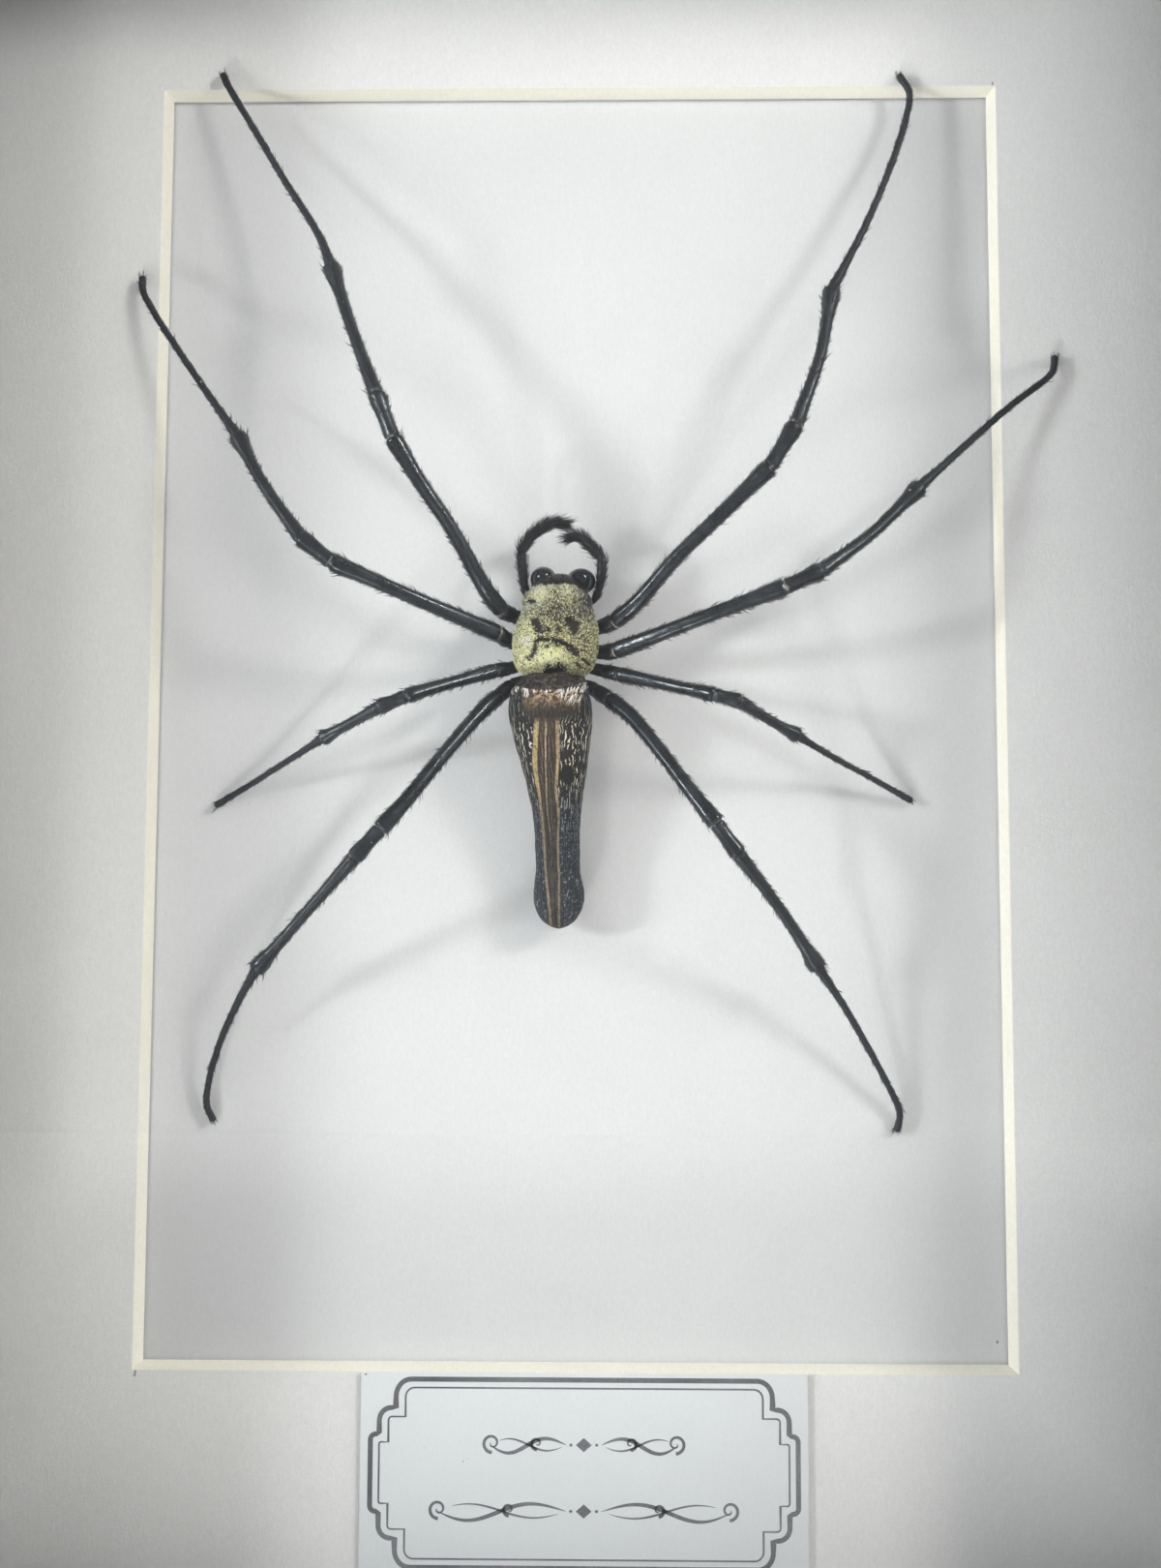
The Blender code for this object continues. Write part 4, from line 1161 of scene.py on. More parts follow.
def makeShieldFur(shield):
    # short flat fur that points away from the pit, thin over the dark marks
    draw = np.random.default_rng(31)
    places, normals = scatter(shield, int(shieldLook["furCount"] * 2.4), 30)
    inWindow = windowPlaces(places)
    kept, tones, silvers = [], [], []
    for k in range(len(places)):
        x, z, height = inWindow[k]
        if height < shieldLook["edge"] + 0.25 or normals[k][1] > 0.45:
            continue
        ragged = noise.noise(Vector((x * 3.1, z * 3.1, 0.0)))
        fringe = 12.62 - 0.5 * hump(x, -5.4, 0.7) - 0.55 * max(0.0, x - 0.1) + 0.25 * ragged
        if (z > fringe or (z > 10.5 and x > 1.25 + 0.4 * ragged)
                or markDepth(x, z) + 0.5 * ragged + draw.normal(0, 0.24) > 0.15):
            continue
        grain = noise.noise(Vector((x * 2.3, z * 2.3, 9.0)))
        fleck = noise.noise(Vector((x * 5.2, z * 5.2, 2.0)))
        tone = shieldTone(x, z) + 0.30 * grain + 1.15 * fleck + draw.normal(0, 0.18)
        if tone < 0.30 and draw.random() < 0.6:
            continue
        kept.append(k)
        tones.append(min(max(tone, 0.02), 1.0))
        pearly = hump(x, -5.1, 0.7) * hump(z, 6.6, 0.45) + 0.8 * hump(x, -4.6, 0.8) * hump(z, 10.55, 0.22)
        grey = 0.45 * hump(z, 9.9, 1.4) + 0.50 * hump(z, 12.2, 1.0) + 0.9 * hump(x, 1.4, 0.9) * hump(z, 11.4, 1.6)
        silvers.append(min(1.0, 0.95 * pearly + grey * draw.uniform(0.5, 1.0) + 0.12 * draw.random()))
        tones[-1] = min(1.0, tones[-1] + 0.4 * pearly)
        if len(kept) == shieldLook["furCount"]:
            break
    kept = np.array(kept)
    roots, out = places[kept], normals[kept]
    away = roots - np.array(spot(*shieldLook["pit"], shieldLook["pitHeight"]))
    forward = np.array([[0.0, 0.0, 1.0]])
    headward = np.clip((inWindow[kept, 1] - 9.0) / 2.0, 0, 1)[:, None]
    flow = unit(unit(away) * (1 - headward) + forward * headward)
    flow = flow - out * np.sum(flow * out, axis=1)[:, None]
    heading = unit(flow) + out * draw.uniform(0.05, 0.4, (len(kept), 1)) + draw.normal(0, 0.42, out.shape)
    lengths = draw.uniform(0.12, 0.25, len(kept)) * (1 + 0.5 * headward[:, 0]) / 1000
    widths = draw.uniform(0.028, 0.050, len(kept)) / 1000
    fur, step = growHairs("shield_fur", hairModels["straightHair"], roots, heading, out, lengths, widths,
                          np.zeros(len(kept)), 32)
    keepValues(fur, "tone", np.repeat(tones, step))
    keepValues(fur, "silver", np.repeat(silvers, step))
    fur.data.materials.append(makeFurFinish())
    return finishPiece(fur)


eyeRow = {"radius": 0.17, "middle": -2.05, "colour": (0.012, 0.010, 0.009), "spots": (
    (-0.55, 13.42), (0.55, 13.36), (-0.62, 13.95), (0.62, 13.9),
    (-2.75, 13.0), (2.95, 13.05), (-2.95, 13.3), (3.1, 13.3))}


def makeEyes(shield):
    # eight small beads set in the bald front of the head
    deselectAll()
    beads = []
    for x, z in eyeRow["spots"]:
        origin = spot(eyeRow["middle"] + x, z, 14)
        met, place, normal, face = shield.ray_cast(origin, Vector((0, 1, 0)))
        if not met:
            continue
        bpy.ops.mesh.primitive_uv_sphere_add(segments=12, ring_count=8, radius=eyeRow["radius"] / 1000,
                                             location=place)
        bpy.ops.object.transform_apply(location=True, rotation=False, scale=False)
        beads.append(view.objects.active)
    eyes = beads[0]
    for bead in beads[1:]:
        pickUp(eyes)
        bead.select_set(True)
        bpy.ops.object.join()
    eyes.name = "eight_eyes"
    bpy.ops.object.shade_smooth()
    eyes.data.materials.clear()
    eyes.data.materials.append(newFinish("wetBlackEye", Base_Color=eyeRow["colour"], Roughness=0.08, IOR=1.6)[0])
    return finishPiece(eyes)


shieldPiece = makeShield()
makeShieldFur(shieldPiece)
makeEyes(shieldPiece)
print("shield, fur and eyes made")

jaws = {
    "left_chelicera": {"centre": (-3.62, 14.15, 4.9), "size": (1.5, 1.45, 2.5)},
    "right_chelicera": {"centre": (0.6, 13.95, 4.9), "size": (1.67, 1.45, 2.5)},
}
jawLook = {"rings": 15, "sides": 28, "hairs": 900, "hairTop": 3.9, "hairWidth": 0.000022}


def makeJaw(name, finish):
    jaw = jaws[name]
    cx, cz, ch = jaw["centre"]
    sx, sz, sh = jaw["size"]
    rings = []
    for k in range(jawLook["rings"]):
        latitude = math.pi * (k / (jawLook["rings"] - 1) - 0.5) * 0.97
        lift, wide = math.sin(latitude), math.cos(latitude)
        # narrower towards the fang, fuller towards the brow
        waist = 1 - 0.16 * max(0.0, -lift)
        ring = []
        for i in range(jawLook["sides"]):
            turn = 2 * math.pi * i / jawLook["sides"]
            ring.append(spot(cx + sx * wide * waist * math.cos(turn), cz + sz * wide * waist * math.sin(turn),
                             ch + sh * lift))
        rings.append(ring)
    piece = drawTube(name + "_shell", rings)
    ringNumbers(piece)
    for value in ("pale", "dull"):
        keepValues(piece, value, np.zeros(len(piece.data.vertices)))
    piece.data.materials.append(finish)
    return finishPiece(piece, (name,))


def makeJawHairs(piece, name, finish):
    draw = np.random.default_rng(len(name))
    places, normals = scatter(piece, jawLook["hairs"], len(name) + 3)
    inWindow = windowPlaces(places)
    keep = inWindow[:, 2] < jawLook["hairTop"]
    places, normals = places[keep], normals[keep]
    heading = normals * 0.5 + np.array([[0, 0.9, 0.2]]) + draw.normal(0, 0.2, normals.shape)
    lengths = draw.uniform(0.25, 0.5, len(places)) / 1000
    widths = np.full(len(places), jawLook["hairWidth"])
    coat, step = growHairs(name + "_hairs", hairModels["bentHair"], places, heading, normals, lengths, widths,
                           lengths * 0.2, 5)
    coat.data.materials.append(finish)
    return finishPiece(coat)


jawFinish = makeShellFinish("glossyJawShell", 0.16, 0.28)
for jawName in jaws:
    makeJawHairs(makeJaw(jawName, jawFinish), jawName, blackHair)
print("jaws made")

abdomenLook = {
    "rings": 150, "sides": 96, "black": (0.0075, 0.0078, 0.0085), "tailBlueBlack": (0.016, 0.019, 0.025),
    "wornCrestHighlightDark": (0.40, 0.33, 0.22), "wornCrestHighlightLight": (0.88, 0.82, 0.66), "tailWornCrestHighlight": (0.40, 0.44, 0.52),
    "scratch": (0.36, 0.40, 0.47), "brown": (0.040, 0.024, 0.014), "tailBrown": (0.022, 0.019, 0.019),
    "backFleck": (0.10, 0.068, 0.042), "backCrestWearAndHighlight": (0.20, 0.150, 0.095), "backFurrowShade": (0.014, 0.010, 0.008),
    "ochre": (0.46, 0.35, 0.16), "tailOchre": (0.27, 0.21, 0.135), "tan": (0.42, 0.30, 0.17),
    "tailTan": (0.29, 0.225, 0.145), "thin": (0.44, 0.34, 0.20), "thinEdge": (0.24, 0.18, 0.11),
    "orange": (0.25, 0.165, 0.09), "curlDark": (0.06, 0.035, 0.02), "curlPale": (0.46, 0.33, 0.20),
    "curlEnd": (0.022, 0.015, 0.011), "cap": (0.010, 0.007, 0.0055), "capWrinkleHighlight": (0.095, 0.072, 0.052),
    "blister": (0.006, 0.006, 0.007), "blisterPlace": (0.00118, 0.10079), "blisterHalf": (0.00072, 0.00112),
}
abdomenRows = [
    (3.05, -2.4, 0.3, 7.3, 0.3), (2.98, -2.4, 2.2, 7.3, 1.3), (2.75, -2.5, 3.3, 7.2, 1.85),
    (2.3, -2.5, 3.7, 7.1, 2.0), (1.1, -2.75, 4.35, 6.9, 2.5),
    (-1.5, -2.7, 4.6, 6.5, 2.8), (-4.6, -2.5, 4.15, 5.9, 2.8), (-7.4, -2.25, 3.55, 5.3, 2.7),
    (-10.2, -2.1, 3.0, 4.7, 2.5), (-12.7, -2.0, 2.6, 4.2, 2.4), (-16.5, -1.95, 2.45, 3.4, 2.2),
    (-18.6, -1.9, 2.45, 3.1, 2.2), (-20.6, -1.8, 2.75, 3.0, 2.35), (-22.4, -1.8, 2.65, 3.0, 2.3),
    (-23.9, -1.8, 1.85, 3.0, 1.7), (-24.6, -1.8, 0.95, 3.0, 0.9), (-24.9, -1.8, 0.15, 3.0, 0.1),
]
# x of the pale stripes down the back
stripes = {
    "left": [(-1.6, -4.05), (-3.0, -4.17), (-6.84, -4.37), (-9.25, -4.06), (-13.6, -3.5), (-18.6, -3.2),
             (-23.9, -2.66)],
    "right": [(-1.6, -1.85), (-3.0, -1.83), (-6.8, -1.82), (-9.7, -2.02), (-12.7, -1.73), (-15.6, -1.85),
              (-19.3, -1.7), (-23.9, -1.75)],
    "thin": [(-1.6, -3.1), (-6.84, -3.15), (-12.7, -2.96), (-14.7, -2.65), (-23.9, -2.3)],
}


def makeAbdomen():
    rings = []
    firstZ, lastZ = abdomenRows[0][0], abdomenRows[-1][0]
    for k in range(abdomenLook["rings"]):
        t = k / (abdomenLook["rings"] - 1)
        z = firstZ + (lastZ - firstZ) * (0.5 - 0.5 * math.cos(math.pi * t)) * 0.35 + (lastZ - firstZ) * t * 0.65
        middle, half, height, thick = follow(abdomenRows, z)
        ring = []
        for i in range(abdomenLook["sides"]):
            turn = 2 * math.pi * i / abdomenLook["sides"]
            across, up = math.cos(turn), math.sin(turn)
            # the dry skin is pleated along the body, deepest on the flanks, and the front folds into lobes
            flank = min(1.0, max(0.15, 1.1 - max(up, 0.0) * 1.0)) * min(1.0, half / 2.4)
            pleat = noise.noise(Vector((across * 7.5, up * 7.5, z * 0.42)))
            fine = noise.noise(Vector((across * 17.0, up * 17.0, z * 0.9 + 5)))
            cross = noise.noise(Vector((across * 3.0, up * 3.0, z * 2.4 + 11)))
            swell = 0.11 * pleat * flank + 0.05 * fine * flank + 0.03 * cross
            x = middle + half * rounded(across, 0.85)
            lobe = math.cos((x + 4.47) * 2.09) * max(up, 0.0)
            swell += (0.24 * lobe + 0.14 * cross + 0.05 * fine) * hump(z, 2.3, 0.9)
            swell -= 0.16 * hump(z, 0.95, 0.25) * max(up, 0.0)
            half0, thick0 = half + swell, thick + swell
            ring.append(spot(middle + half0 * rounded(across, 0.85), z + 0.14 * lobe * hump(z, 2.8, 0.6),
                             height + thick0 * rounded(up, 0.85)))
        rings.append(ring)
    abdomen = drawTube("striped_abdomen", rings)
    ringNumbers(abdomen)
    inWindow = windowPlaces(vertexPlaces(abdomen))
    for name, rows in stripes.items():
        keepValues(abdomen, name + "Stripe", [x - follow(rows, z)[0] for x, z, _ in inWindow])
    keepValues(abdomen, "along", inWindow[:, 1])
    turns = []
    for x, z, h in inWindow:
        middle, half, height, thick = follow(abdomenRows, z)
        turns.append(math.atan2((x - middle) / half, (h - height) / thick))
    keepValues(abdomen, "around", turns)
    keepValues(abdomen, "topside", [h - follow(abdomenRows, z)[2] for _, z, h in inWindow])
    return abdomen


def makePleatWearAndHighlight():
    # crests of the pleats as thin broken pale lines that run along the body and wander where they crowd: partly
    # pale worn skin, partly painted highlight on the crests
    inputs = [(name, "Float", 0.0) for name in ("Around", "Along", "Crowd")]
    tree, given, result = newEffect("pleatWearAndHighlight", inputs, [("Mask", "Float"), ("Height", "Float")])
    flat = addNode(tree, "ShaderNodeCombineXYZ")
    plug(tree, flat.inputs[0], times(tree, given["Around"], 3.0))
    plug(tree, flat.inputs[1], given["Along"])
    skin = flat.outputs[0]
    sway = times(tree, grainAt(tree, skin, 0.9, 2), timesPlus(tree, given["Crowd"], 1.6, 1.6))
    line = timesPlus(tree, given["Around"], 10.0, sway)
    line = timesPlus(tree, grainAt(tree, skin, 3.2, 1), 0.7, line)
    off = reckon(tree, "ABSOLUTE", reckon(tree, "SUBTRACT", reckon(tree, "FRACT", line), 0.5))
    wide = timesPlus(tree, given["Crowd"], 0.06, 0.15)
    mask = ease(tree, off, wide, times(tree, wide, 0.55))
    broken = ease(tree, grainAt(tree, stretched(tree, skin, (3.0, 0.75, 1)), 1.0, 2), 0.485, 0.55)
    plug(tree, result["Mask"], times(tree, mask, broken))
    plug(tree, result["Height"], timesPlus(tree, off, -2.0, 1.0))
    return tree


def makeAbdomenFinish():
    finish, tree, shader = newFinish("stripedAbdomenSkin", IOR=1.48, Specular_IOR_Level=0.35)
    pleatWearAndHighlight = makePleatWearAndHighlight()
    place = objectPlace(tree)
    along, top, around = (readValue(tree, n) for n in ("along", "topside", "around"))
    left, right, thin = (readValue(tree, n + "Stripe") for n in ("left", "right", "thin"))
    wobble = timesPlus(tree, grainAt(tree, stretched(tree, place, (1, 1, 0.35)), 1300, 3, 0.6), 0.6, -0.3)
    fleck = grainAt(tree, place, 3400, 3, 0.65)
    upward = ease(tree, top, 0.2, 0.8)
    # flanks: black, with pale pleat crests that crowd at the right of the front half, partly worn skin and partly
    # painted highlight
    sides = reckon(tree, "MAXIMUM", ease(tree, right, 0.2, 0.9), ease(tree, left, -0.2, -0.8, 0.0, 0.6))
    crowd = times(tree, sides, ease(tree, along, -11.0, -7.5))
    crowd = times(tree, crowd, ease(tree, along, -1.5, -3.0))
    wornCrestHighlight = useEffect(tree, pleatWearAndHighlight, Around=around, Along=along, Crowd=crowd)
    front = times(tree, ease(tree, along, -18.5, -8.0, 0.12, 1.0), ease(tree, along, -1.2, -3.6, 0.35, 1.0))
    wornCrestHighlightTone = gradient(tree, fleck, [(0.3, abdomenLook["wornCrestHighlightDark"]), (0.6, abdomenLook["wornCrestHighlightLight"])])
    # the flank black turns lighter and bluer towards the tail
    tailBlueBlack = mixColours(tree, ease(tree, along, -12.0, -17.0), abdomenLook["black"], abdomenLook["tailBlueBlack"])
    wornCrestHighlightTone = mixColours(tree, ease(tree, along, -9.0, -13.0), wornCrestHighlightTone, abdomenLook["tailWornCrestHighlight"])
    flank = mixColours(tree, times(tree, wornCrestHighlight["Mask"], front), tailBlueBlack, wornCrestHighlightTone)
    # towards the tail the skin carries fine grey scratches and specks
    scratch = ease(tree, grainAt(tree, stretched(tree, place, (1, 1, 0.55)), 4400, 3, 0.75), 0.57, 0.66)
    scratch = times(tree, scratch, ease(tree, along, -7.0, -13.0, 0.0, 0.85))
    flank = mixColours(tree, scratch, flank, abdomenLook["scratch"])
    # the back between the stripes is brown, warm in front and dull at the tail
    warm = ease(tree, along, -16.0, -3.0)
    back = mixColours(tree, warm, abdomenLook["tailBrown"], abdomenLook["brown"])
    back = mixColours(tree, ease(tree, fleck, 0.45, 0.7, 0.0, 0.5), back, abdomenLook["backFleck"])
    # pale pleat crests on the back, partly worn skin and partly painted highlight
    back = mixColours(tree, times(tree, wornCrestHighlight["Mask"], 0.6), back, abdomenLook["backCrestWearAndHighlight"])
    # painted shade in the furrows between the pleat crests
    back = mixColours(tree, ease(tree, wornCrestHighlight["Height"], 0.45, 0.10, 0.0, 0.75), back, abdomenLook["backFurrowShade"])
    leftEdge = ease(tree, reckon(tree, "ADD", left, wobble), -0.3, 0.0)
    rightEdge = ease(tree, reckon(tree, "ADD", right, wobble), 0.3, 0.05)
    onBack = times(tree, times(tree, leftEdge, rightEdge), upward)
    colour = mixColours(tree, onBack, flank, back)
    started = times(tree, ease(tree, along, -1.9, -3.0), upward)
    late = ease(tree, along, -9.0, -14.0)
    ochre = mixColours(tree, late, abdomenLook["ochre"], abdomenLook["tailOchre"])
    tan = mixColours(tree, late, abdomenLook["tan"], abdomenLook["tailTan"])
    dotted = ease(tree, fleck, 0.34, 0.56, 0.30, 1.0)
    for distance, shift, half, strength, tint in (
            (left, 0.0, 0.28, 1.0, ochre), (right, 0.0, 0.22, 0.95, tan),
            (thin, 0.0, 0.09, 0.95, abdomenLook["thin"]), (thin, 0.42, 0.05, 0.45, abdomenLook["thinEdge"]),
            (thin, -0.36, 0.05, 0.45, abdomenLook["thinEdge"])):
        off = reckon(tree, "ABSOLUTE", reckon(tree, "ADD", timesPlus(tree, wobble, 0.4, distance), shift))
        wide = ease(tree, along, -13.0, -6.0, half * 0.6, half * 1.1)
        mask = ease(tree, off, wide, times(tree, wide, 0.65))
        mask = times(tree, times(tree, mask, started), times(tree, dotted, strength))
        if distance == thin:
            mask = times(tree, mask, ease(tree, along, -17.0, -12.0, 0.15, 1.0))
        colour = mixColours(tree, mask, colour, tint)
    # front of the back: curled orange-brown mottling that darkens before the stripes start
    curls = grainAt(tree, place, 1350, 3, 0.6, 2.2)
    fade = reckon(tree, "ADD", along, timesPlus(tree, curls, 2.0, -1.0))
    bare = mixColours(tree, ease(tree, along, -0.6, 0.5), abdomenLook["orange"], abdomenLook["curlPale"])
    mottled = mixColours(tree, ease(tree, curls, 0.46, 0.56), abdomenLook["curlDark"], bare)
    ending = ease(tree, timesPlus(tree, curls, 1.2, along), 0.6, -0.9)
    mottled = mixColours(tree, ending, mottled, abdomenLook["curlEnd"])
    inner = times(tree, ease(tree, left, -1.9, -0.9), ease(tree, right, 2.9, 1.9))
    frontShare = times(tree, ease(tree, fade, -3.0, -1.4), times(tree, upward, inner))
    colour = mixColours(tree, frontShare, colour, mottled)
    # the cap at the front: dark brown with painted highlight on the crests of its wrinkles, which also give its
    # bumps
    wrinkles = grainAt(tree, stretched(tree, place, (0.35, 1, 1)), 2600, 3, 0.65, 1.4)
    capToneWithHighlight = mixColours(tree, ease(tree, wrinkles, 0.48, 0.62), abdomenLook["cap"], abdomenLook["capWrinkleHighlight"])
    colour = mixColours(tree, ease(tree, timesPlus(tree, wobble, 0.8, along), 0.8, 1.1), colour, capToneWithHighlight)
    # one smooth black blister on the right of the back
    blister = addNode(tree, "ShaderNodeVectorMath", operation="LENGTH")
    (blisterX, blisterZ), (halfX, halfZ) = abdomenLook["blisterPlace"], abdomenLook["blisterHalf"]
    shifted = stretched(tree, place, (1 / halfX, 0, 1 / halfZ), shift=(-blisterX / halfX, 0, -blisterZ / halfZ))
    plug(tree, blister.inputs[0], shifted)
    smooth = times(tree, ease(tree, blister.outputs["Value"], 1.05, 0.85), upward)
    colour = mixColours(tree, smooth, colour, abdomenLook["blister"])
    dress(shader, Base_Color=colour)
    rough = ease(tree, fleck, 0.3, 0.7, 0.42, 0.66)
    dress(shader, Roughness=timesPlus(tree, ease(tree, along, 0.8, 1.2), -0.16, rough))
    height = timesPlus(tree, wornCrestHighlight["Height"], 0.5, times(tree, fleck, 0.4))
    height = times(tree, height, reckon(tree, "SUBTRACT", 1.0, smooth))
    height = timesPlus(tree, times(tree, wrinkles, ease(tree, along, 0.6, 1.2)), 1.2, height)
    dress(shader, Normal=relief(tree, height, 0.00016, 0.9))
    return finish


tornLook = {"tried": 70000, "kept": 6200, "dark": (0.42, 0.27, 0.16), "mid": (0.84, 0.71, 0.58),
            "pale": (1.0, 0.96, 0.91)}


def makeTornBand(abdomen):
    # the torn skin at the front fold, dried into pinkish white tufts
    draw = np.random.default_rng(77)
    places, normals = scatter(abdomen, tornLook["tried"], 76)
    inWindow = windowPlaces(places)
    kept, tints = [], []
    for k, (x, z, height) in enumerate(inWindow):
        if normals[k][1] > 0.1:
            continue
        arc = 0.95 + 0.4 * hump(x, -6.4, 0.9) + 0.9 * max(0.0, (x + 1.2) / 2.3) ** 1.3 - 0.15 * hump(x, -3.2, 1.6)
        depth = 0.25 + 0.8 * hump(x, -6.1, 0.9) + 1.5 * hump(x, 0.2, 1.0)
        clump = noise.noise(Vector((x * 4.6 - 1.9 * (z - arc) * (x > -1.5), z * 0.6, 3.0)))
        reach = 0.34 * max(0.0, (arc - z) / depth) + 0.16 * hump(x, 0.3, 1.3)
        needed = -0.16 + reach + 0.2 * hump(x, -3.6, 1.3)
        if arc + 0.2 > z > arc - depth and clump + draw.normal(0, 0.07) > needed:
            kept.append(k)
            tints.append(min(1.0, max(0.0, 0.5 + 0.8 * clump + draw.normal(0, 0.15))))
    kept, tints = np.array(kept[:tornLook["kept"]]), tints[:tornLook["kept"]]
    roots, out = places[kept], normals[kept]
    down = np.array([[0.0, 0.0, -1.0]])
    slant = np.clip(-(inWindow[kept, 0] + 2.6) / 4, -1, 1)[:, None] * np.array([[0.55, 0.0, 0.0]])
    heading = down + slant + out * draw.uniform(0.1, 0.5, (len(kept), 1)) + draw.normal(0, 0.22, out.shape)
    lengths = draw.uniform(0.35, 0.8, len(kept)) * (1 + 0.5 * (inWindow[kept, 0] > -1.5)) / 1000
    widths = draw.uniform(0.025, 0.05, len(kept)) / 1000
    band, step = growHairs("torn_fold_tufts", hairModels["bentHair"], roots, heading, out, lengths, widths,
                           lengths * 0.25, 78)
    keepValues(band, "tint", np.repeat(tints, step))
    finish, tree, shader = newFinish("driedTornSkin", Roughness=0.6)
    dress(shader, Base_Color=gradient(tree, readValue(tree, "tint"), [
        (0.10, tornLook["dark"]), (0.32, tornLook["mid"]), (0.55, tornLook["pale"])]))
    band.data.materials.append(finish)
    return finishPiece(band)


abdomenPiece = makeAbdomen()
abdomenPiece.data.materials.append(makeAbdomenFinish())
finishPiece(abdomenPiece, ("abdomen",))
makeTornBand(abdomenPiece)
print("abdomen made")


def makeGlue():
    # a slumped bead of clear glue between the body and the card
    glue = softenNode("glue_dab", "glue_bead", None, 0.0001, 2)
    applyModifier(glue, "SUBSURF", levels=2, render_levels=2)
    bpy.ops.object.shade_smooth()
    finish, tree, shader = newFinish("driedClearGlue", Base_Color=(0.78, 0.72, 0.58), IOR=1.48, Coat_Weight=0.3)
    dress(shader, Roughness=ease(tree, grainAt(tree, objectPlace(tree), 500, 3), 0.3, 0.7, 0.2, 0.4))
    dress(shader, Normal=relief(tree, grainAt(tree, objectPlace(tree), 900, 3), 0.0001, 0.5))
    glue.data.materials.clear()
    glue.data.materials.append(finish)
    return glue


makeGlue()


# dust: how many specks lie where, then single ones by x, z, height and radius
speckLook = {
    "onLegs": {"left_leg_1": 26, "left_leg_2": 9, "left_leg_4": 6, "right_leg_1": 7, "right_leg_2": 8,
               "right_leg_3": 4, "right_leg_4": 8},
    "onCard": 26, "onMount": 16,
    "flakes": [(36.99, 23.26, 9.4, 0.16), (47.37, 32.45, 4.6, 0.13), (-42.45, 36.65, 6.5, 0.1),
               (31.5, 17.3, 11.5, 0.09)],
    "crumbs": [(46.4, -69.9, 0.05, 0.17), (-22.7, -73.5, 2.0, 0.15), (-16.2, -81.3, 1.97, 0.07),
               (-15.4, -81.8, 1.97, 0.05), (-12.0, -82.7, 1.97, 0.09), (-11.5, -82.4, 1.97, 0.06)],
}


def makeSpecks():
    # loose dust: pale flakes on the legs, small dark crumbs on the sheets
    deselectAll()
    bpy.ops.mesh.primitive_ico_sphere_add(subdivisions=1, radius=1.0)
    crumb = view.objects.active
    model = (vertexPlaces(crumb), [list(f.vertices) for f in crumb.data.polygons])
    bpy.data.objects.remove(crumb)
    draw = np.random.default_rng(12)
    flakes, crumbs = [], []
    for name, share in speckLook["onLegs"].items():
        stations = [s for s in limbStationsByName[name] if s[3] in ("trochanter", "femur", "patella", "tibia")]
        for _ in range(share):
            k = int(draw.random() ** 1.6 * (len(stations) - 1))
            place, radius = stations[k][0], stations[k][1]
            turn = draw.uniform(0.2, 0.8) * math.pi
            ahead = (stations[k + 1][0] - place).normalized()
            side = ahead.cross(Vector((0, 0, 1))).normalized()
            at = place + radius * (side * math.cos(turn) + Vector((0, 0, 1)) * math.sin(turn))
            flakes.append((*at, draw.uniform(0.03, 0.075)))
    flakes += speckLook["flakes"]
    for _ in range(speckLook["onCard"]):
        crumbs.append((draw.uniform(-44, 46), draw.uniform(-70, 70), 0.03, draw.uniform(0.03, 0.06)))
    for _ in range(speckLook["onMount"]):
        side = 1 if draw.random() < 0.5 else -1
        crumbs.append((side * draw.uniform(50, 64), draw.uniform(-80, 80), 1.53, draw.uniform(0.03, 0.06)))
    crumbs += speckLook["crumbs"]
    for name, rows, dark, light, slotName in (
            ("pale_dust", flakes, (0.55, 0.55, 0.54), (0.8, 0.8, 0.78), "white_card"),
            ("dark_crumbs", crumbs, (0.09, 0.065, 0.045), (0.28, 0.24, 0.2), "brown_board")):
        roots = np.array([spot(x, z, h) for x, z, h, _ in rows])
        sizes = np.array([s for _, _, _, s in rows])[:, None] / 1000
        across = unit(draw.normal(0, 1, (len(rows), 3)) * [1, 0.15, 1])
        depth = np.tile(np.array([[0.0, 1.0, 0.0]]), (len(rows), 1))
        other = unit(np.cross(across, depth))
        dust, step = sow(name, model, roots, across * sizes, depth * sizes * 0.45,
                         other * sizes * draw.uniform(0.4, 0.9, (len(rows), 1)))
        dust.data.materials.append(makeHairFinish(name + "Finish", dark, light))
        finishPiece(dust)


makeSpecks()
print("dust laid")

studio = {"floor": (0.78, 0.77, 0.76), "floorLight": (0.81, 0.80, 0.79), "world": (0.93, 0.96, 1.0),
          "worldStrength": 0.32, "aim": (0.0, 0.0, 0.115), "lampDistance": 1.4}
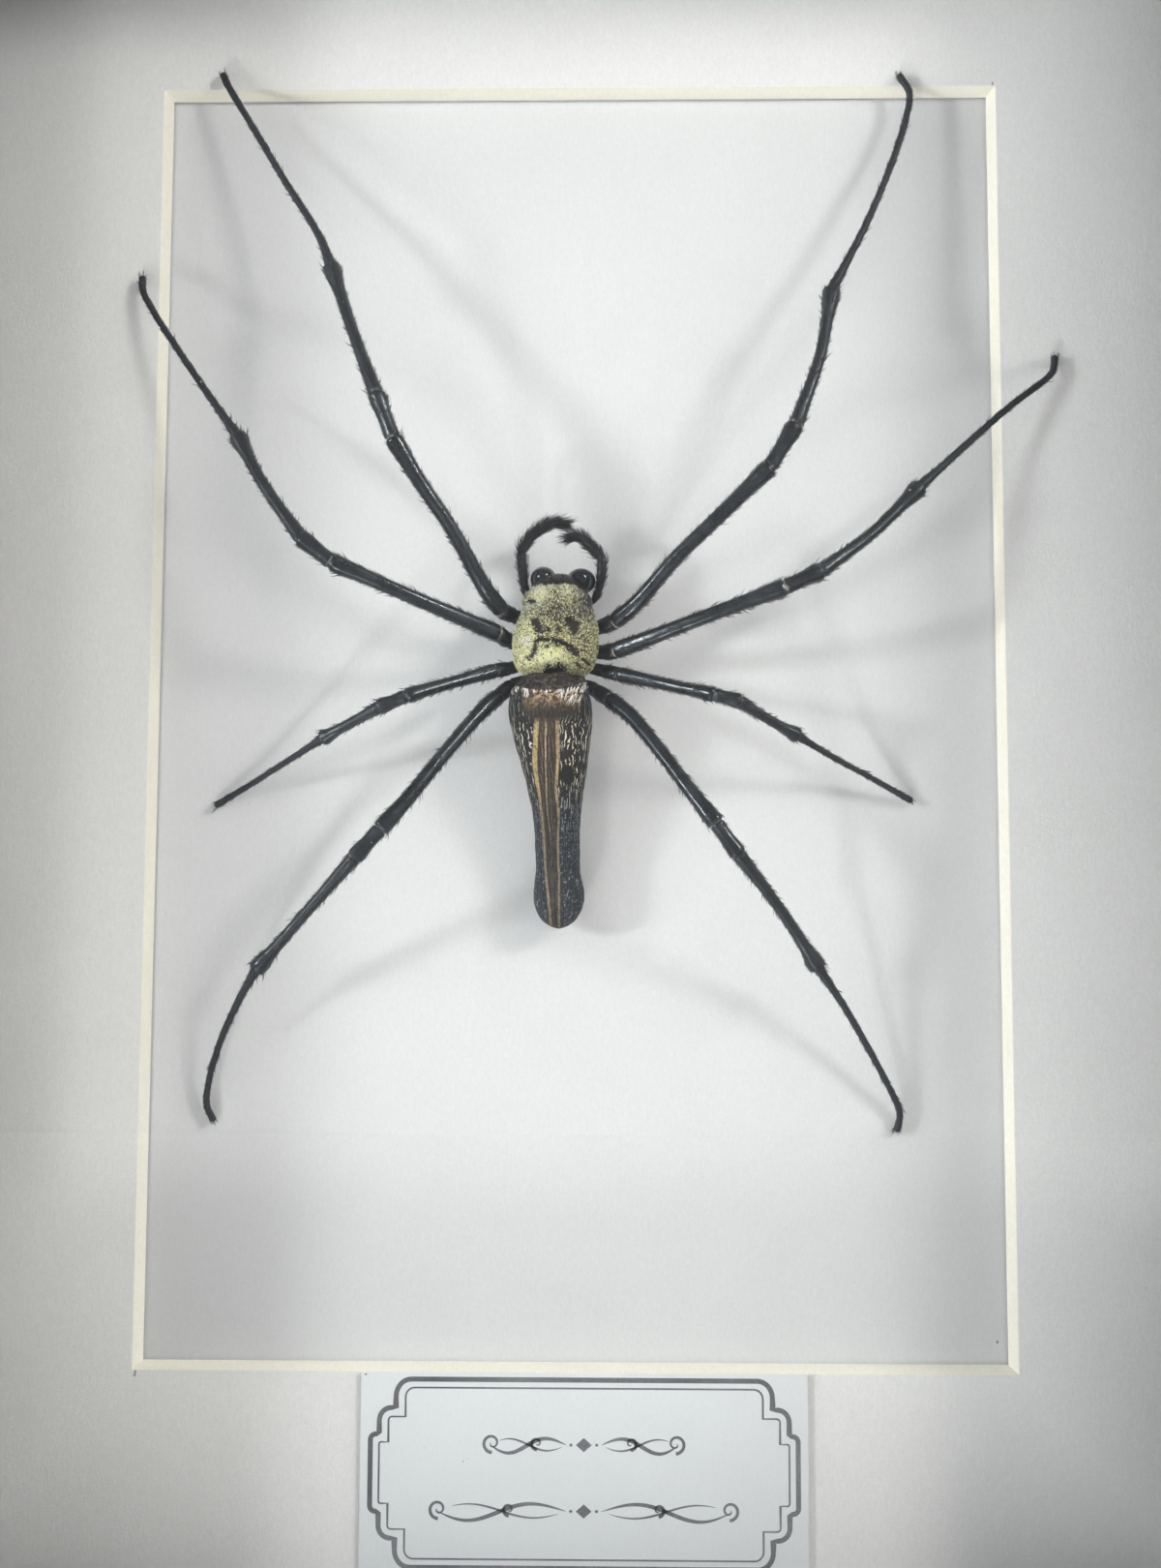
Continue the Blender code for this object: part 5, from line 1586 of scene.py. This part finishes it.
# each lamp's place as sideways and upward reach for every unit in front of the glass
lamps = {
    "leftLamp": {"reach": (-1.78, 0.12), "power": 8.4, "size": 0.18, "colour": (0.96, 0.985, 1.0)},
    "rightLamp": {"reach": (1.30, 0.72), "power": 6.9, "size": 0.25, "colour": (1.0, 0.975, 0.95)},
    "lowLamp": {"reach": (-0.72, -1.85), "power": 4.8, "size": 0.14, "colour": (1.0, 0.99, 0.98)},
}


def makeStudio():
    deselectAll()
    bpy.ops.mesh.primitive_plane_add(size=4.0, location=(0, 0, -0.0002))
    floor = view.objects.active
    floor.name = "studio_floor"
    bpy.ops.object.transform_apply(location=True, rotation=False, scale=False)
    finish, tree, shader = newFinish("paleFloor", Roughness=0.8)
    cloud = grainAt(tree, objectPlace(tree), 12, 3)
    dress(shader, Base_Color=mixColours(tree, cloud, studio["floor"], studio["floorLight"]))
    floor.data.materials.append(finish)
    floor.visible_shadow = False
    aim = Vector(studio["aim"])
    for name, lamp in lamps.items():
        away = Vector((lamp["reach"][0], -1.0, lamp["reach"][1])).normalized()
        light = bpy.data.lights.new(name, "AREA")
        light.shape = "DISK"
        light.size = lamp["size"]
        light.energy = lamp["power"]
        light.color = lamp["colour"]
        holder = bpy.data.objects.new(name, light)
        links.link(holder)
        holder.location = aim + away * studio["lampDistance"]
        holder.rotation_euler = (-away).to_track_quat("-Z", "Y").to_euler()
    world = bpy.data.worlds.new("studioAir")
    bpy.context.scene.world = world
    world.use_nodes = True
    sky = world.node_tree.nodes["Background"]
    sky.inputs["Color"].default_value = (*studio["world"], 1.0)
    sky.inputs["Strength"].default_value = studio["worldStrength"]


# stands low in front of the frame and looks slightly up; lengths in metres, turns in degrees
camera = {"place": (0.00836, -0.25370, 0.06951), "turn": (96.805, -0.194, 1.263), "sensor": 36.0,
          "zoom": 2400 / 1620}


def makeCamera():
    lens = bpy.data.cameras.new("frontCamera")
    lens.sensor_width = camera["sensor"]
    lens.lens = camera["sensor"] * camera["zoom"]
    lens.clip_start = 0.01
    holder = bpy.data.objects.new("frontCamera", lens)
    links.link(holder)
    holder.location = camera["place"]
    holder.rotation_euler = [math.radians(turn) for turn in camera["turn"]]
    bpy.context.scene.camera = holder
    bpy.context.scene.view_settings.view_transform = "Standard"


makeStudio()
makeCamera()
print("scene ready")
